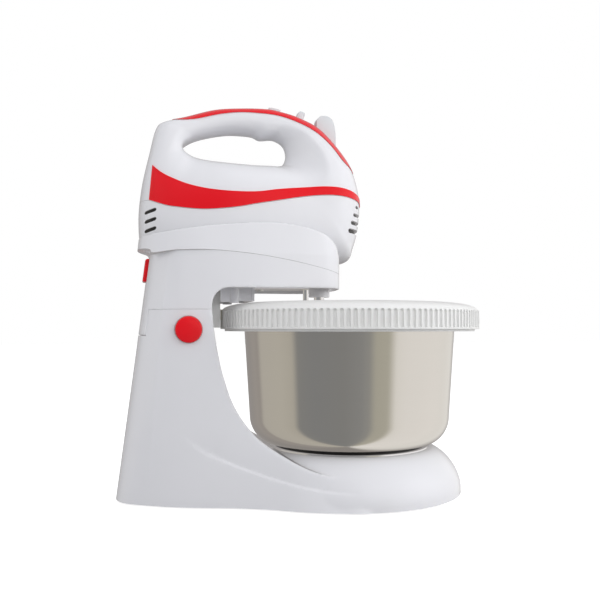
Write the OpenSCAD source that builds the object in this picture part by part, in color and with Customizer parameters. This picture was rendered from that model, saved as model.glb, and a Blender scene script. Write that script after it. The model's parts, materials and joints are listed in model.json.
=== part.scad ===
// Stand mixer: a hand mixer docked on a tilting arm, over a bowl that turns on its own base.
// Millimetres. +Z up, +X towards the bowl, origin under the middle of the whole machine.
// Every module below is drawn with the bowl axis at X = 0; place() moves it to its final X.

/* [Base] */
// Distance from the bowl axis to the rear of the base at the floor
base_back = 199.5; // [190:0.5:210]
// Radius of the round front foot
foot_r = 97; // [92:0.5:102]
// Height of the foot's flat top, round the turntable
foot_top = 39; // [36:0.5:42]
// Height of the top edge of the column
column_top = 156; // [150:0.5:157]
// Half width of the column and arm at their front
column_half_w = 53; // [50:0.5:56]
// Forward lean of the column's rear face, in mm per mm of height
rear_lean = 0.134; // [0.12:0.002:0.15]
// Wall of the base shell
base_wall = 3; // [2.5:0.1:3.5]
// Height of the rubber feet
feet_h = 3; // [2:0.5:4]
// Thickness of the plate that closes the base
base_plate_t = 2.5; // [2:0.1:3]

/* [Turntable and bowl] */
// Radius of the turntable's bright rim
turntable_r = 69; // [66:0.5:70]
// Height of the underside of the bowl
bowl_floor_z = 41; // [40.5:0.1:42]
// Outside radius of the bowl where its corner meets the wall
bowl_low_r = 87; // [84:0.5:88]
// Outside radius of the bowl just under the ring
bowl_top_r = 91.7; // [90:0.1:92.5]
// Radius of the corner between the bowl's floor and wall
bowl_corner = 23; // [18:0.5:26]
// Height of the bowl's rim
bowl_rim_z = 150; // [149:0.5:150.5]
// Sheet thickness of the bowl
bowl_t = 0.9; // [0.7:0.1:1.2]
// Radius of the spindle that the turntable turns on
spindle_r = 4; // [3:0.25:5]

/* [Ring gear] */
// Tip radius of the ring's teeth
ring_r = 112.5; // [111:0.5:114]
// Number of teeth on the ring
ring_teeth = 140; // [136:4:144]
// Height of the bottom of the toothed band
ring_z0 = 140.3; // [139.5:0.1:141]
// Height of the top of the toothed band
ring_z1 = 157; // [156.5:0.1:157.5]
// Radius of the opening in the splash collar
collar_open_r = 80; // [76:0.5:82]
// Height of the splash collar's top
collar_top = 162.8; // [162:0.1:163]
// Wall of the splash collar
collar_t = 2.2; // [1.8:0.1:2.4]

/* [Arm] */
// Height of the arm's lower edge in front of the column
arm_bottom = 173; // [172:0.5:174]
// Distance from the bowl axis back to the arm's front end
arm_front = 15; // [14:0.5:20]
// Radius of the arch where the arm meets the column
arch_r = 13; // [10:0.5:15]
// Wall of the arm and of its cover
arm_wall = 2.5; // [2:0.1:3]
// Half width of the tongue that reaches down the column's rear
tongue_half_w = 24; // [20:0.5:26]
// Height of the tongue's lower edge
tongue_z = 135.5; // [134:0.5:138]
// Gap of every seam between shells
seam = 0.5; // [0.3:0.05:0.6]

/* [Tilt hinge] */
// Distance from the bowl axis back to the hinge
hinge_back = 171; // [170:0.25:172]
// Height of the hinge
hinge_z = 153; // [152.5:0.1:153.5]
// Radius of the hinge pin
hinge_pin_r = 2; // [1.75:0.05:2.25]
// Radius of the hinge knuckles
knuckle_r = 4; // [3.5:0.1:4.5]

/* [Hand mixer] */
// Half width of the mixer's belly
mixer_half_w = 48; // [46:0.5:49]
// Half width of the handle
handle_half_w = 17; // [15:0.5:19]
// Wall of the mixer's housings
mixer_wall = 2.5; // [2:0.1:3]
// Height of the motor axis
motor_z = 236; // [234:0.5:238]
// Distance from the bowl axis back to the beaters
beater_back = 33; // [31:0.5:35]
// Half of the distance between the beaters
beater_half_gap = 24; // [23:0.25:25]
// Radius of the motor shaft
shaft_r = 4; // [3:0.25:4.5]

/* [Beaters] */
// Radius of a beater's shaft
beater_shaft_r = 2.5; // [2:0.1:3]
// Radius of a beater's cage
cage_r = 21; // [18:0.5:22]
// Height of the lowest point of the beaters
beater_z0 = 50; // [48:0.5:56]
// Height of the top of the cages
cage_top = 128; // [120:1:132]

/* [Bowl drive] */
// Teeth on the pinion that turns the ring
pinion_teeth = 10; // [10:1:12]
// Teeth on the drive collar
collar_teeth = 20; // [18:1:22]
// Teeth on the first idler
idler_a_teeth = 24; // [22:1:26]
// Teeth on the second idler
idler_b_teeth = 28; // [26:1:30]
// Teeth on the pinion shaft's gear
output_teeth = 30; // [28:1:32]
// Height of the arm's gears
gear_h = 6; // [5:0.5:7]

/* [Controls] */
// Radius of the round tilt button
tilt_button_r = 10.5; // [9.5:0.25:11]
// Travel of the tilt button
tilt_travel = 4; // [3:0.25:4.5]
// Travel of the mixer release button
release_travel = 3; // [2:0.25:3.5]
// Travel of the eject button
eject_travel = 6; // [5:0.25:7]
// Travel of the turbo button
turbo_travel = 1.5; // [1:0.25:2]
// Travel of the speed slider
speed_travel = 12; // [10:0.5:12]

/* [Hidden] */
$fn = 48;
e = 0.01;             // overcut of through cuts
run = 0.05;           // radial running clearance
bowl_x = (base_back - ring_r) / 2;

module place() translate([bowl_x, 0, 0]) children();
module mirror_y() { children(); mirror([0, 1, 0]) children(); }

// ---- curves ----
function cr(a, b, c, d, t) = 0.5 * (2*b + (c - a)*t + (2*a - 5*b + 4*c - d)*t*t + (3*b - a - 3*c + d)*t*t*t);
function smooth_open(p, n) = let (m = len(p)) concat([for (i = [0:m - 2]) for (k = [0:n - 1])
    cr(p[max(i - 1, 0)], p[i], p[i + 1], p[min(i + 2, m - 1)], k / n)], [p[m - 1]]);
function smooth_loop(p, n) = let (m = len(p)) [for (i = [0:m - 1]) for (k = [0:n - 1])
    cr(p[(i + m - 1) % m], p[i], p[(i + 1) % m], p[(i + 2) % m], k / n)];
function arc(cx, cy, rx, ry, a0, a1, n) = [for (i = [0:n]) let (a = a0 + (a1 - a0) * i / n)
    [cx + rx * cos(a), cy + ry * sin(a)]];
function both_sides(h) = concat(h, [for (i = [len(h) - 2:-1:1]) [h[i][0], -h[i][1]]]);
function mix(a, b, t) = a + (b - a) * t;

// A closed skin through a stack of level outlines, each a ring of the same number of points.
module stack(rings, levels) {
    n = len(rings[0]);
    m = len(rings);
    mid = [for (k = [0, m - 1]) [for (i = [0:1]) (rings[k][0][i] + rings[k][floor(n / 2)][i]) / 2]];
    pts = concat([for (k = [0:m - 1]) for (p = rings[k]) [p[0], p[1], levels[k]]],
        [[mid[0][0], 0, levels[0]], [mid[1][0], 0, levels[m - 1]]]);
    faces = concat(
        [for (k = [0:m - 2]) for (i = [0:n - 1]) let (j = (i + 1) % n) [k*n + i, k*n + j, (k + 1)*n + j]],
        [for (k = [0:m - 2]) for (i = [0:n - 1]) let (j = (i + 1) % n) [k*n + i, (k + 1)*n + j, (k + 1)*n + i]],
        [for (i = [0:n - 1]) [m*n, (i + 1) % n, i]],
        [for (i = [0:n - 1]) [m*n + 1, (m - 1)*n + i, (m - 1)*n + (i + 1) % n]]);
    polyhedron(pts, faces);
}
// A prism across the machine from an outline in the XZ plane.
module across(pts, half_w) rotate([90, 0, 0]) linear_extrude(2 * half_w, center = true) polygon(pts);
module cyl(x, y, z0, z1, r) translate([x, y, z0]) cylinder(r = r, h = z1 - z0);
module tube(x, y, z0, z1, r, bore) difference() {
    cyl(x, y, z0, z1, r);
    cyl(x, y, z0 - e, z1 + e, bore);
}
// A cylinder along X, and a ring along X, on the motor axis.
module along(x0, x1, r) translate([x0, 0, motor_z]) rotate([0, 90, 0]) cylinder(r = r, h = x1 - x0);
module sleeve(x0, x1, r, bore) difference() {
    along(x0, x1, r);
    along(x0 - e, x1 + e, bore);
}

// ---- gears ----
function inv_xy(rb, t) = [rb * (cos(t) + t * PI / 180 * sin(t)), rb * (sin(t) - t * PI / 180 * cos(t))];
function turn(p, a) = [p[0] * cos(a) - p[1] * sin(a), p[0] * sin(a) + p[1] * cos(a)];
function roll_at(rb, r) = sqrt(max(pow(r / rb, 2) - 1, 0)) * 180 / PI;
// One flank of an involute tooth centred on +X, from root to tip, on the side of negative angles.
function flank(teeth, m, add, ded, slack, n) =
    let (r = teeth * m / 2, rb = r * cos(20), ra = r + add * m, rf = r - ded * m,
        tp = roll_at(rb, r), ip = inv_xy(rb, tp), ap = atan2(ip[1], ip[0]),
        half = 90 / teeth - slack / 2 / r * 180 / PI, r0 = max(rf, rb + 0.02 * m))
    concat(rf < rb ? [turn([rf, 0], -half - ap)] : [],
        [for (i = [0:n]) let (q = inv_xy(rb, roll_at(rb, mix(r0, ra, i / n)))) turn(q, -half - ap)]);
// Outline of a spur gear: add and ded are in modules, slack is the tooth's thinning at its pitch line.
function gear_pts(teeth, m, add, ded, slack, n) = let (f = flank(teeth, m, add, ded, slack, n), c = len(f))
    [for (k = [0:teeth - 1]) for (i = [0:2*c - 1])
        turn(i < c ? f[i] : [f[2*c - 1 - i][0], -f[2*c - 1 - i][1]], 360 * k / teeth)];

// ---- plan outlines, rear to front on the +Y side ----
function rear_x(z) = -base_back + rear_lean * z;
function crease_x(z) = 24 - base_back + 0.052 * z + 0.00016 * z * z;
function flare(z) = pow(max(1 - z / column_top, 0), 1.6);
// The column and arm share one outline, which spreads into the foot towards the floor.
function body_half(z, off) = let (f = flare(z), xr = rear_x(z), xc = crease_x(z), yc = 36 - 3 * f, w = column_half_w)
    [[xr + off, 0], [xr + 0.06 * (xc - xr) + off, 0.35 * yc], [xr + 0.33 * (xc - xr) + off, 0.68 * yc],
     [xc + 0.4 * off, yc - 0.9 * off],
     [mix(-151, -157, f), mix(w - 11, 42.5, f) - off], [-138, mix(w - 7.5, 49.3, f) - off],
     [mix(-118, -120, f), mix(w - 3.7, 54.5, f) - off], [mix(-96, -102, f), mix(w - 1.5, 60.2, f) - off],
     [-80, mix(w - 0.5, 70.5, f) - off], [mix(-62, -59, f), mix(w, 83, f) - off],
     [mix(-45, -33.6, f), mix(w - 0.5, 92.5, f) - off],
     [mix(-30, -8, f) - 0.5 * off, mix(w - 4, 96, f) - off], [mix(-arm_front - 5, 20, f) - off, mix(w - 14, 60, f) - 0.6 * off],
     [mix(-arm_front - 1, 26, f) - off, mix(20, 30, f)], [mix(-arm_front, 28, f) - off, 0]];
function body_ring(z, off) = both_sides(body_half(z, off));
module body_skin(z0, z1, off, steps) stack([for (i = [0:steps]) body_ring(mix(z0, z1, i / steps), off)],
    [for (i = [0:steps]) mix(z0, z1, i / steps)]);
function cover_half(off) = let (w = column_half_w)
    [[-182.8 + off, 0], [-181.5 + off, 16], [-177 + off, 26], [-168 + 0.7 * off, w - 17.5 - 0.7 * off],
     [-154, w - 10 - off], [-138, w - 5.5 - off], [-118, w - 3 - off], [-96, w - 1.2 - off], [-62, w - off],
     [-45, w - 0.5 - off], [-30 - 0.5 * off, w - 4 - off], [-arm_front - 5 - off, w - 14 - 0.6 * off],
     [-arm_front - 1 - off, 20], [-arm_front - off, 0]];

// ---- side outlines, in the XZ plane ----
// Upper edge of the base: the column's front, sweeping down into the foot.
front_sweep = [[-125.5, 170], [-125.3, 156], [-124, 140], [-119.5, 114], [-114.9, 96.5], [-109.3, 81], [-100.1, 65.5],
    [-87.7, 52], [-70, 40], [-53.6, 31.6], [-33.8, 26], [-6, 21], [22, 17]];
// The seam between arm shell and arm cover, front to rear.
arm_seam = [[-10, 183.5], [-23.6, 186.3], [-60, 194.3], [-91, 199.4], [-123.8, 202.4], [-148.4, 202.4],
    [-158, 201.9], [-166, 200.9], [-171.5, 201], [-174.5, 202.9], [-190, 204.4]];
// The cover's top edge, rear to front.
cover_edge = [[-190, 213.6], [-178.6, 215.2], [-160.6, 217.5], [-123.8, 222.5], [-85.8, 225.4], [-66.5, 224.8],
    [-46.8, 221.5], [-32.6, 216.2], [-23.3, 208.8], [-19.6, 199.8], [-18, 190]];
// The red sweep's upper and lower edges, rear to front.
swoosh_top = [[-171, 271.2], [-164.9, 265.4], [-156.3, 260.3], [-139.5, 253.5], [-118.7, 249.9], [-92, 249.6], [-72, 252.6],
    [-51.1, 255.1], [-34.7, 256.6], [-20.6, 256.6], [-8.9, 255], [0, 252.4], [8, 248.6]];
swoosh_low = [[-173.8, 242.4], [-164.6, 238.9], [-156.3, 236.8], [-139.8, 234.9], [-125.2, 234.8], [-105.5, 237], [-90.6, 240],
    [-72.2, 243.4], [-51.7, 247.3], [-38, 249.1], [-23.2, 249.8], [-11, 249], [0, 247.2], [8, 244.4]];

// ---- the hand mixer's body: a loop round the finger hole ----
// Each station is [hole x, hole z, outside x, outside z, breadth from handle 0 to belly 1, squareness].
stations = [
    [-101.7, 306, -95, 326.6, 0, 2.3], [-86.5, 305.4, -77, 327.4, 0, 2.3], [-79.5, 302.6, -66, 326.6, 0.01, 2.3], [-67.8, 303.3, -46, 321.6, 0.04, 2.2],
    [-59.4, 298.2, -25.2, 309.7, 0.26, 2.1], [-56.8, 289.6, -1.9, 279.7, 0.62, 2.1], [-59.5, 282, 5.9, 253.3, 0.81, 2.2], [-66, 279.2, 5.2, 228, 0.89, 2.3],
    [-72, 278.6, -0.2, 208, 0.92, 2.5], [-76, 278.4, -7.2, 197.4, 0.94, 2.6], [-87, 278.2, -36, 196.5, 0.98, 2.6], [-100, 278.6, -80, 196.5, 1, 2.6],
    [-114, 279.5, -122, 196.5, 0.97, 2.6], [-126, 281.2, -158, 198, 0.85, 2.4], [-136, 283.6, -177.5, 205.5, 0.69, 2.4], [-142.5, 286.6, -181.3, 229, 0.54, 2.9],
    [-145.2, 290.6, -178.8, 257, 0.4, 2.9], [-143.8, 294.4, -172.6, 285, 0.29, 2.9], [-138, 298, -167.7, 304.5, 0.19, 2.8], [-132, 300.4, -161.7, 310.8, 0.12, 2.6],
    [-124, 302.6, -144, 316, 0.05, 2.4], [-113, 304.8, -119, 323.7, 0.01, 2.3]];
function power(v, p) = sign(v) * pow(abs(v), p);
// Point of a section at angle a, grown outwards by off.
function loop_point(s, a, off) =
    let (w = mix(handle_half_w, mixer_half_w, s[4]) + off, h = [s[0], s[1]], o = [s[2], s[3]], d = (o - h) / norm(o - h),
        t = 0.5 - 0.5 * power(cos(a), 2 / s[5]), p = (h - d * off) * (1 - t) + (o + d * off) * t)
    [p[0], w * power(sin(a), 2 / s[5]), p[1]];
module mixer_skin(off, per, around) {
    st = smooth_loop(stations, per);
    n = len(st);
    pts = [for (s = st) for (i = [0:around - 1]) loop_point(s, 360 * i / around, off)];
    faces = [for (k = [0:n - 1]) for (i = [0:around - 1]) let (a = k * around, b = ((k + 1) % n) * around,
        j = (i + 1) % around) each [[a + i, b + i, b + j], [a + i, b + j, a + j]]];
    polyhedron(pts, faces);
}

// ---- shared places ----
well_r = turntable_r + 0.8;
well_z = foot_top - 6;
hub_r = spindle_r + 4.5;                          // hub under the turntable
hinge_x = -hinge_back;
pinion_m = 2 * ring_r / (ring_teeth + 1.2);       // module of ring and pinion: the ring's addendum is 0.6
ring_pitch_r = pinion_m * ring_teeth / 2;
pinion_x = -(ring_pitch_r + pinion_m * pinion_teeth / 2);
tilt_x = -143.7;
tilt_z = 140;
tilt_y = -(column_half_w - 7.2);                  // the flank at the tilt button
screw_ring_r = foot_r - 7;
foot_screws = [[27.5 - base_back, 28], [-110, 51], screw_ring_r * [cos(103), sin(103)],
    screw_ring_r * [cos(40), sin(40)]];
plate_z = feet_h;
skirt_z = 1.2;                                    // lower edge of the base's walls
plate_top = plate_z + base_plate_t;
housing_z = 141.5;                                // underside of the pinion's housing
housing_r = 11.3;
deck_z = arm_bottom + 3;                          // underside of the arm's deck, between its side walls
deck_top = deck_z + arm_wall;
collar_r = 4.3;
gear_z = deck_top + 1.2;
arm_post_top = 188;
arm_screw_at = [[-72, 40, deck_z], [-72, -40, deck_z], [-138, 39.5, 168], [-138, -39.5, 168]];   // x, y, foot

// ---- base ----
function dome(off, low) = concat([[0, low], [0, foot_top - off]], [for (a = [90:-7.5:0])
    [foot_r - 27 + (27 - off) * pow(cos(a), 1.21), 6 + (foot_top - 6 - off) * pow(sin(a), 1.21)]], [[foot_r - off, low]]);
module column_body(off, low, high) intersection() {
    body_skin(low, high, off, 6);
    across(concat(smooth_open([for (p = front_sweep) [p[0] - off, p[1] - off]], 2),
        [[22, low - 1], [-210, low - 1], [-210, 170 - off]]), 120);
}
module base_shell() color("white") place() difference() {
    union() {
        difference() {
            union() {
                column_body(0, skirt_z, column_top - seam / 2);
                rotate_extrude($fn = 96) polygon(dome(0, skirt_z));
            }
            column_body(base_wall, 0, column_top + 5);
            rotate_extrude($fn = 96) polygon(dome(base_wall, 0));
        }
        // well under the turntable, and the boss that holds the spindle
        cyl(0, 0, well_z - base_wall, foot_top, well_r + base_wall);
        cyl(0, 0, plate_top, well_z, hub_r + 3.5);
        for (p = foot_screws) for (s = [-1, 1]) cyl(p[0], s * p[1], plate_top, 15, 4);
        // cup of the tilt button
        intersection() {
            translate([tilt_x, tilt_y - 6, tilt_z]) rotate([-90, 0, 0]) cylinder(r = tilt_button_r + 3, h = 16);
            body_skin(plate_z, column_top - seam, 0.6, 2);
        }
        // shelf that the hinge block stands on
        intersection() {
            translate([-190, -22, 118]) cube([80, 44, 4]);
            body_skin(plate_z, column_top, 1, 2);
            across(concat([for (p = front_sweep) [p[0] - 1, p[1]]], [[-210, 0], [-210, 170]]), 60);
        }
    }
    cyl(0, 0, well_z, foot_top + 2, well_r);
    cyl(0, 0, well_z - 8, well_z + e, hub_r + 0.5);
    cyl(0, 0, plate_top - e, well_z, spindle_r);
    for (p = foot_screws) for (s = [-1, 1]) cyl(p[0], s * p[1], plate_top - e, 13.5, 1.5);
    // recess of the button's cap, and its guide bore
    translate([tilt_x, tilt_y - 12, tilt_z]) rotate([-90, 0, 0]) cylinder(r = tilt_button_r + 0.4, h = 19);
    translate([tilt_x, tilt_y - 6, tilt_z]) rotate([-90, 0, 0]) cylinder(r = 5 + run, h = 30);
    // room for the arm's tongue
    translate([-200, -tongue_half_w - seam, tongue_z - 3 * seam]) cube([30, 2 * (tongue_half_w + seam), 40]);
    translate([-200, -27, column_top - 1.2]) cube([30, 54, 5]);
    // room for the pinion's housing
    cyl(pinion_x, 0, housing_z - 2.5, column_top + 5, housing_r + 1.6);
    translate([pinion_x, -housing_r - 1.6, housing_z - 2.5]) cube([20, 2 * housing_r + 3.2, 30]);
}
module base_plate() color("lightgray") place() difference() {
    union() {
        intersection() {
            body_skin(plate_z, plate_top + 4, base_wall + 0.5, 1);
            translate([-250, -150, plate_z]) cube([500, 300, base_plate_t]);
        }
        cyl(0, 0, plate_z, plate_top, foot_r - base_wall - 0.6);
    }
    for (p = foot_screws) for (s = [-1, 1]) cyl(p[0], s * p[1], 0, 20, 1.5);
}
module base_feet() color("dimgray") place()
    for (p = [[-182, 0], [-120, 30], [-120, -30], [45, 62], [45, -62]]) difference() {
        cyl(p[0], p[1], 0, feet_h, 8);
        cyl(p[0], p[1], -e, 1, 3);
    }
module base_screws() color("silver") place() for (p = foot_screws) for (s = [-1, 1]) {
    cyl(p[0], s * p[1], plate_z - 1.4, plate_z, 3);
    cyl(p[0], s * p[1], plate_z, 13, 1.5);
}
module spindle() color("silver") place() cyl(0, 0, plate_top, well_z + 3.6, spindle_r);
module spindle_washer() color("silver") place()
    tube(0, 0, well_z - 8, well_z - 7.2, hub_r, spindle_r);

// ---- turntable and bowl ----
module turntable() color("dimgray") place() difference() {
    union() {
        cyl(0, 0, well_z + 0.6, well_z + 3.2, turntable_r - 3);
        cyl(0, 0, well_z + 3.2, bowl_floor_z, turntable_r - 9);
        cyl(0, 0, well_z - 7.2, well_z + 3.2, hub_r);
    }
    cyl(0, 0, well_z - 8, well_z + 3.8, spindle_r + run);
}
module turntable_rim() color("silver") place()
    tube(0, 0, well_z + 1, foot_top + 0.8, turntable_r, turntable_r - 3);
function bowl_line(t) = concat([[0, bowl_floor_z + t]],
    arc(bowl_low_r - bowl_corner, bowl_floor_z + bowl_corner + 1, bowl_corner - t, bowl_corner + 1 - t, -90, 0, 10),
    [[bowl_top_r - t, bowl_rim_z - 9], [bowl_top_r - t, bowl_rim_z]]);
function reversed(l) = [for (i = [len(l) - 1:-1:0]) l[i]];
module bowl() color("silver") place() {
    rotate_extrude($fn = 96) polygon(concat(bowl_line(0), reversed(bowl_line(bowl_t))));
    rotate_extrude($fn = 96) translate([bowl_top_r + 0.9, bowl_rim_z]) circle(r = 1.5, $fn = 24);
}
collar_profile = arc(collar_open_r + 3, ring_z1 - 1, ring_r - collar_open_r - 7.5, collar_top - ring_z1 + 1, 90, 12, 8);
module bowl_ring() color("whitesmoke") place() {
    difference() {
        translate([0, 0, ring_z0]) linear_extrude(ring_z1 - ring_z0)
            polygon(gear_pts(ring_teeth, pinion_m, 0.6, 1.25, 1.1, 1));
        cyl(0, 0, ring_z0 - e, ring_z1 + e, ring_r - 6.5);
    }
    tube(0, 0, ring_z0 - 1.8, ring_z0, ring_r - 3.2, ring_r - 6.5);
    rotate_extrude($fn = 96) polygon(concat([[collar_open_r, collar_top - collar_t], [collar_open_r, collar_top]],
        collar_profile, [[ring_r - 4.5, ring_z1 - 0.2], [ring_r - 6.8, ring_z1 - 4]],
        reversed([for (p = collar_profile) [p[0] - 2, p[1] - collar_t]])));
    // rib that sits on the bowl's rim, and the skirt outside it
    tube(0, 0, bowl_rim_z + 1.5, collar_top - collar_t, bowl_top_r + 3, bowl_top_r - 1);
    tube(0, 0, bowl_rim_z - 3, collar_top - collar_t - 0.3, bowl_top_r + 5, bowl_top_r + 3);
}

// ---- hinge and tilt lock ----
lug_w = 5;
lug_y = 8;
module knuckle(y, r) translate([hinge_x, y - lug_w / 2, hinge_z]) rotate([-90, 0, 0]) cylinder(r = r, h = lug_w);
module hinge_block() color("lightgray") place() difference() {
    union() {
        for (s = [-1, 1]) {
            knuckle(s * lug_y, knuckle_r);
            translate([0, s * lug_y, 0]) across([[hinge_x + 1, hinge_z + 3.8], [hinge_x + 14, hinge_z + 2],
                [-142, hinge_z - 6], [-142, 122], [-156, 122], [-156, hinge_z - 22], [hinge_x + 9, hinge_z - 11],
                [hinge_x + 1.5, hinge_z - 3.7]], lug_w / 2);
        }
        translate([-156, -lug_y - lug_w / 2, 122]) cube([14, 2 * lug_y + lug_w, 4]);
    }
    translate([hinge_x, -20, hinge_z]) rotate([-90, 0, 0]) cylinder(r = hinge_pin_r + run, h = 40);
}
module hinge_pin() color("silver") place() translate([hinge_x, -18, hinge_z]) rotate([-90, 0, 0])
    cylinder(r = hinge_pin_r, h = 36);
module tilt_button() color("crimson") place() {
    translate([tilt_x, tilt_y - 2.6, tilt_z]) rotate([-90, 0, 0])
        cylinder(r1 = tilt_button_r - 1, r2 = tilt_button_r, h = 1.4);
    translate([tilt_x, tilt_y - 1.2, tilt_z]) rotate([-90, 0, 0]) cylinder(r = tilt_button_r, h = 2);
    translate([tilt_x, tilt_y, tilt_z]) rotate([-90, 0, 0]) cylinder(r = 5, h = 15);
    // plate behind the arm's hook, with the nose that catches in the hook's window
    translate([tilt_x - 3.5, tilt_y + 15, tilt_z - 3.5]) cube([7, 1, 16]);
    translate([tilt_x - 2.5, tilt_y + 14, tilt_z + 8.6]) cube([5, 1.5, 2]);
}
module coil(wire, r, turns, pitch) for (i = [0:turns - 1]) translate([0, 0, i * pitch])
    rotate_extrude() translate([r, 0]) circle(r = wire, $fn = 16);
module tilt_spring() color("silver") place() translate([tilt_x, tilt_y + 6.5, tilt_z]) rotate([-90, 0, 0])
    coil(0.5, 7, 2, -0.98);

// ---- arm ----
function arm_side(up, r, low) = concat([[-205, low], [-112.5 - r, low]],
    arc(-112.5, arm_bottom + up - r, r, r, 180, 90, 8), [[-5, arm_bottom + up]]);
gear_m = 2 * norm([pinion_x + beater_back, beater_half_gap])
    / (collar_teeth + 2 * idler_a_teeth + 2 * idler_b_teeth + output_teeth);
function gear_r(t) = gear_m * t / 2;
train_dir = [pinion_x + beater_back, beater_half_gap] / norm([pinion_x + beater_back, beater_half_gap]);
collar_at = [-beater_back, -beater_half_gap];
idler_a_at = collar_at + train_dir * (gear_r(collar_teeth) + gear_r(idler_a_teeth));
idler_b_at = idler_a_at + train_dir * (gear_r(idler_a_teeth) + gear_r(idler_b_teeth));
train_angle = atan2(train_dir[1], train_dir[0]);
module arm_shell() color("white") place() difference() {
    union() {
        difference() {
            intersection() {
                body_skin(column_top - 2, 212, 0, 2);
                across(concat(arm_side(0, arch_r, column_top + seam / 2), smooth_open(arm_seam, 2)), 60);
            }
            // hollow above the deck, and the recess under it between the side walls
            intersection() {
                body_skin(column_top - 5, 220, arm_wall, 2);
                across(concat(arm_side(3 + arm_wall, arch_r + arm_wall + 3, column_top - 3), [[-5, 220], [-205, 220]]), 60);
            }
            intersection() {
                body_skin(column_top - 5, 220, arm_wall, 2);
                across(concat([[-5, column_top - 3], [-112.5 - arch_r - 3, column_top - 3]],
                    arc(-112.5, arm_bottom - arch_r, arch_r + 3, arch_r + 3, 180, 90, 8), [[-5, deck_z]]), 60);
            }
        }
        // tongue down the column's rear
        difference() {
            intersection() {
                body_skin(tongue_z, column_top + 3, 0, 2);
                translate([-200, -tongue_half_w, tongue_z]) cube([40, 2 * tongue_half_w, 30]);
            }
            body_skin(tongue_z - 5, column_top + 8, arm_wall, 2);
        }
        for (s = [-1, 1]) {
            knuckle(s * 15, knuckle_r);
            intersection() {
                translate([hinge_x - 4, s * 15 - lug_w / 2, hinge_z]) cube([8, lug_w, 20]);
                body_skin(hinge_z - 1, hinge_z + 25, 0.6, 2);
            }
        }
        // hanging bosses and webs under the deck
        for (s = [-1, 1]) {
            cyl(-104.6, s * 22, arm_bottom - 11.1, deck_z + 1, 4);
            translate([-116, s * 22 - 1.2, arm_bottom - 10.5]) cube([11, 2.4, 14]);
            translate([-104.6, s * 22 - 1.2, arm_bottom - 9.7]) cube([15, 2.4, 13.2]);
        }
        translate([-90.5, -24, arm_bottom - 9.7]) cube([2.4, 48, 13.2]);
        // boss round the near beater's shaft
        cyl(-beater_back, -beater_half_gap, arm_bottom - 6, deck_z + 1, 8.7);
        for (p = arm_screw_at) cyl(p[0], p[1], p[2], arm_post_top, 4);
        // hook that the tilt button holds by its window
        difference() {
            translate([tilt_x - 5, tilt_y + 11.6, tilt_z + 5.8]) cube([10, 2, 26.2]);
            translate([tilt_x - 3, tilt_y + 11, tilt_z + 7.8]) cube([6, 3, 3.6]);
        }
        translate([tilt_x - 5, -41.8, tilt_z + 29]) cube([10, 9.6, 3]);
        // rib that guides the release button's stem
        translate([-158.5, -39, 184]) cube([2.5, 78, 9]);
    }
    translate([hinge_x, -24, hinge_z]) rotate([-90, 0, 0]) cylinder(r = hinge_pin_r, h = 48);
    cyl(-beater_back, -beater_half_gap, arm_bottom - 9, deck_top + e, collar_r + run);
    cyl(-beater_back, beater_half_gap, arm_bottom - 9, deck_top + e, 5);
    cyl(pinion_x, 0, deck_z - 12, deck_top + 3, 5.5);
    housing_body();
    cyl(collar_at[0], collar_at[1], deck_top, 200, gear_r(collar_teeth) + 1.5);
    translate([-176, -18, 200.4]) cube([14, 36, 6]);    // under the mixer's rear
    for (p = [idler_a_at, idler_b_at]) cyl(p[0], p[1], deck_z - e, deck_top + e, 2);
    for (p = arm_screw_at) cyl(p[0], p[1], p[2] - e, arm_post_top + e, 1.5);
    release_cut(0.4);
    translate([-160, 0, 188.5]) rotate([0, 90, 0]) cylinder(r = 3 + run, h = 6);
}
function release_z() = [179, 198];
module release_cut(gap) translate([-200, -9 - gap, release_z()[0] - gap])
    cube([32, 18 + 2 * gap, release_z()[1] - release_z()[0] + 2 * gap]);
floor_z = 193.2;                                  // underside of the cover's floor
cradle_gap = 0.5;                                 // gap between mixer and cradle
module cover_body(off) stack([for (grow = [0, 0, 3.2]) both_sides(cover_half(off + grow))], [180, 200, 228]);
module arm_cover() color("white") place() difference() {
    intersection() {
        cover_body(0);
        across(concat(smooth_open([for (p = arm_seam) [p[0], p[1] + seam]], 2), smooth_open(cover_edge, 2)), 60);
    }
    mixer_skin(cradle_gap, 2, 20);
    // hollow under the floor
    difference() {
        intersection() {
            cover_body(arm_wall);
            across([[-190, 170], [-5, 170], [-5, floor_z], [-160, floor_z], [-172, floor_z + 5], [-172, 206.5], [-190, 206.5]], 60);
        }
        for (p = arm_screw_at) cyl(p[0], p[1], arm_post_top, floor_z + 1, 4);
    }
    for (p = arm_screw_at) cyl(p[0], p[1], arm_post_top - e, 192, 1.5);
    for (s = [-1, 1]) cyl(-beater_back, s * beater_half_gap, 185, 205, 8);
    translate([-170.5, -6.5, 185]) cube([10, 13, 25]);
}
module arm_screws() color("silver") place() for (p = arm_screw_at) {
    cyl(p[0], p[1], p[2] - 1.4, p[2], 3);
    cyl(p[0], p[1], p[2], 191.5, 1.5);
}
module housing_body() {
    cyl(pinion_x, 0, housing_z, deck_z, housing_r);
    translate([pinion_x - 9, -16, deck_z - 4]) cube([18, 32, 4]);
}
module pinion_housing() color("whitesmoke") place() difference() {
    housing_body();
    cyl(pinion_x, 0, housing_z + 2, 160, housing_r - 1.8);
    cyl(pinion_x, 0, housing_z - 1, housing_z + 3, 2 + run);
    cyl(pinion_x, 0, 159, deck_z + 1, 4 + run);
    translate([-ring_r - 2.2, -20, housing_z - 1]) cube([20, 40, 25]);
}
module guide_bush() color("gainsboro") place()
    tube(-beater_back, beater_half_gap, deck_z - 0.6, deck_top + 4, 5, beater_shaft_r + run);
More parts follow.
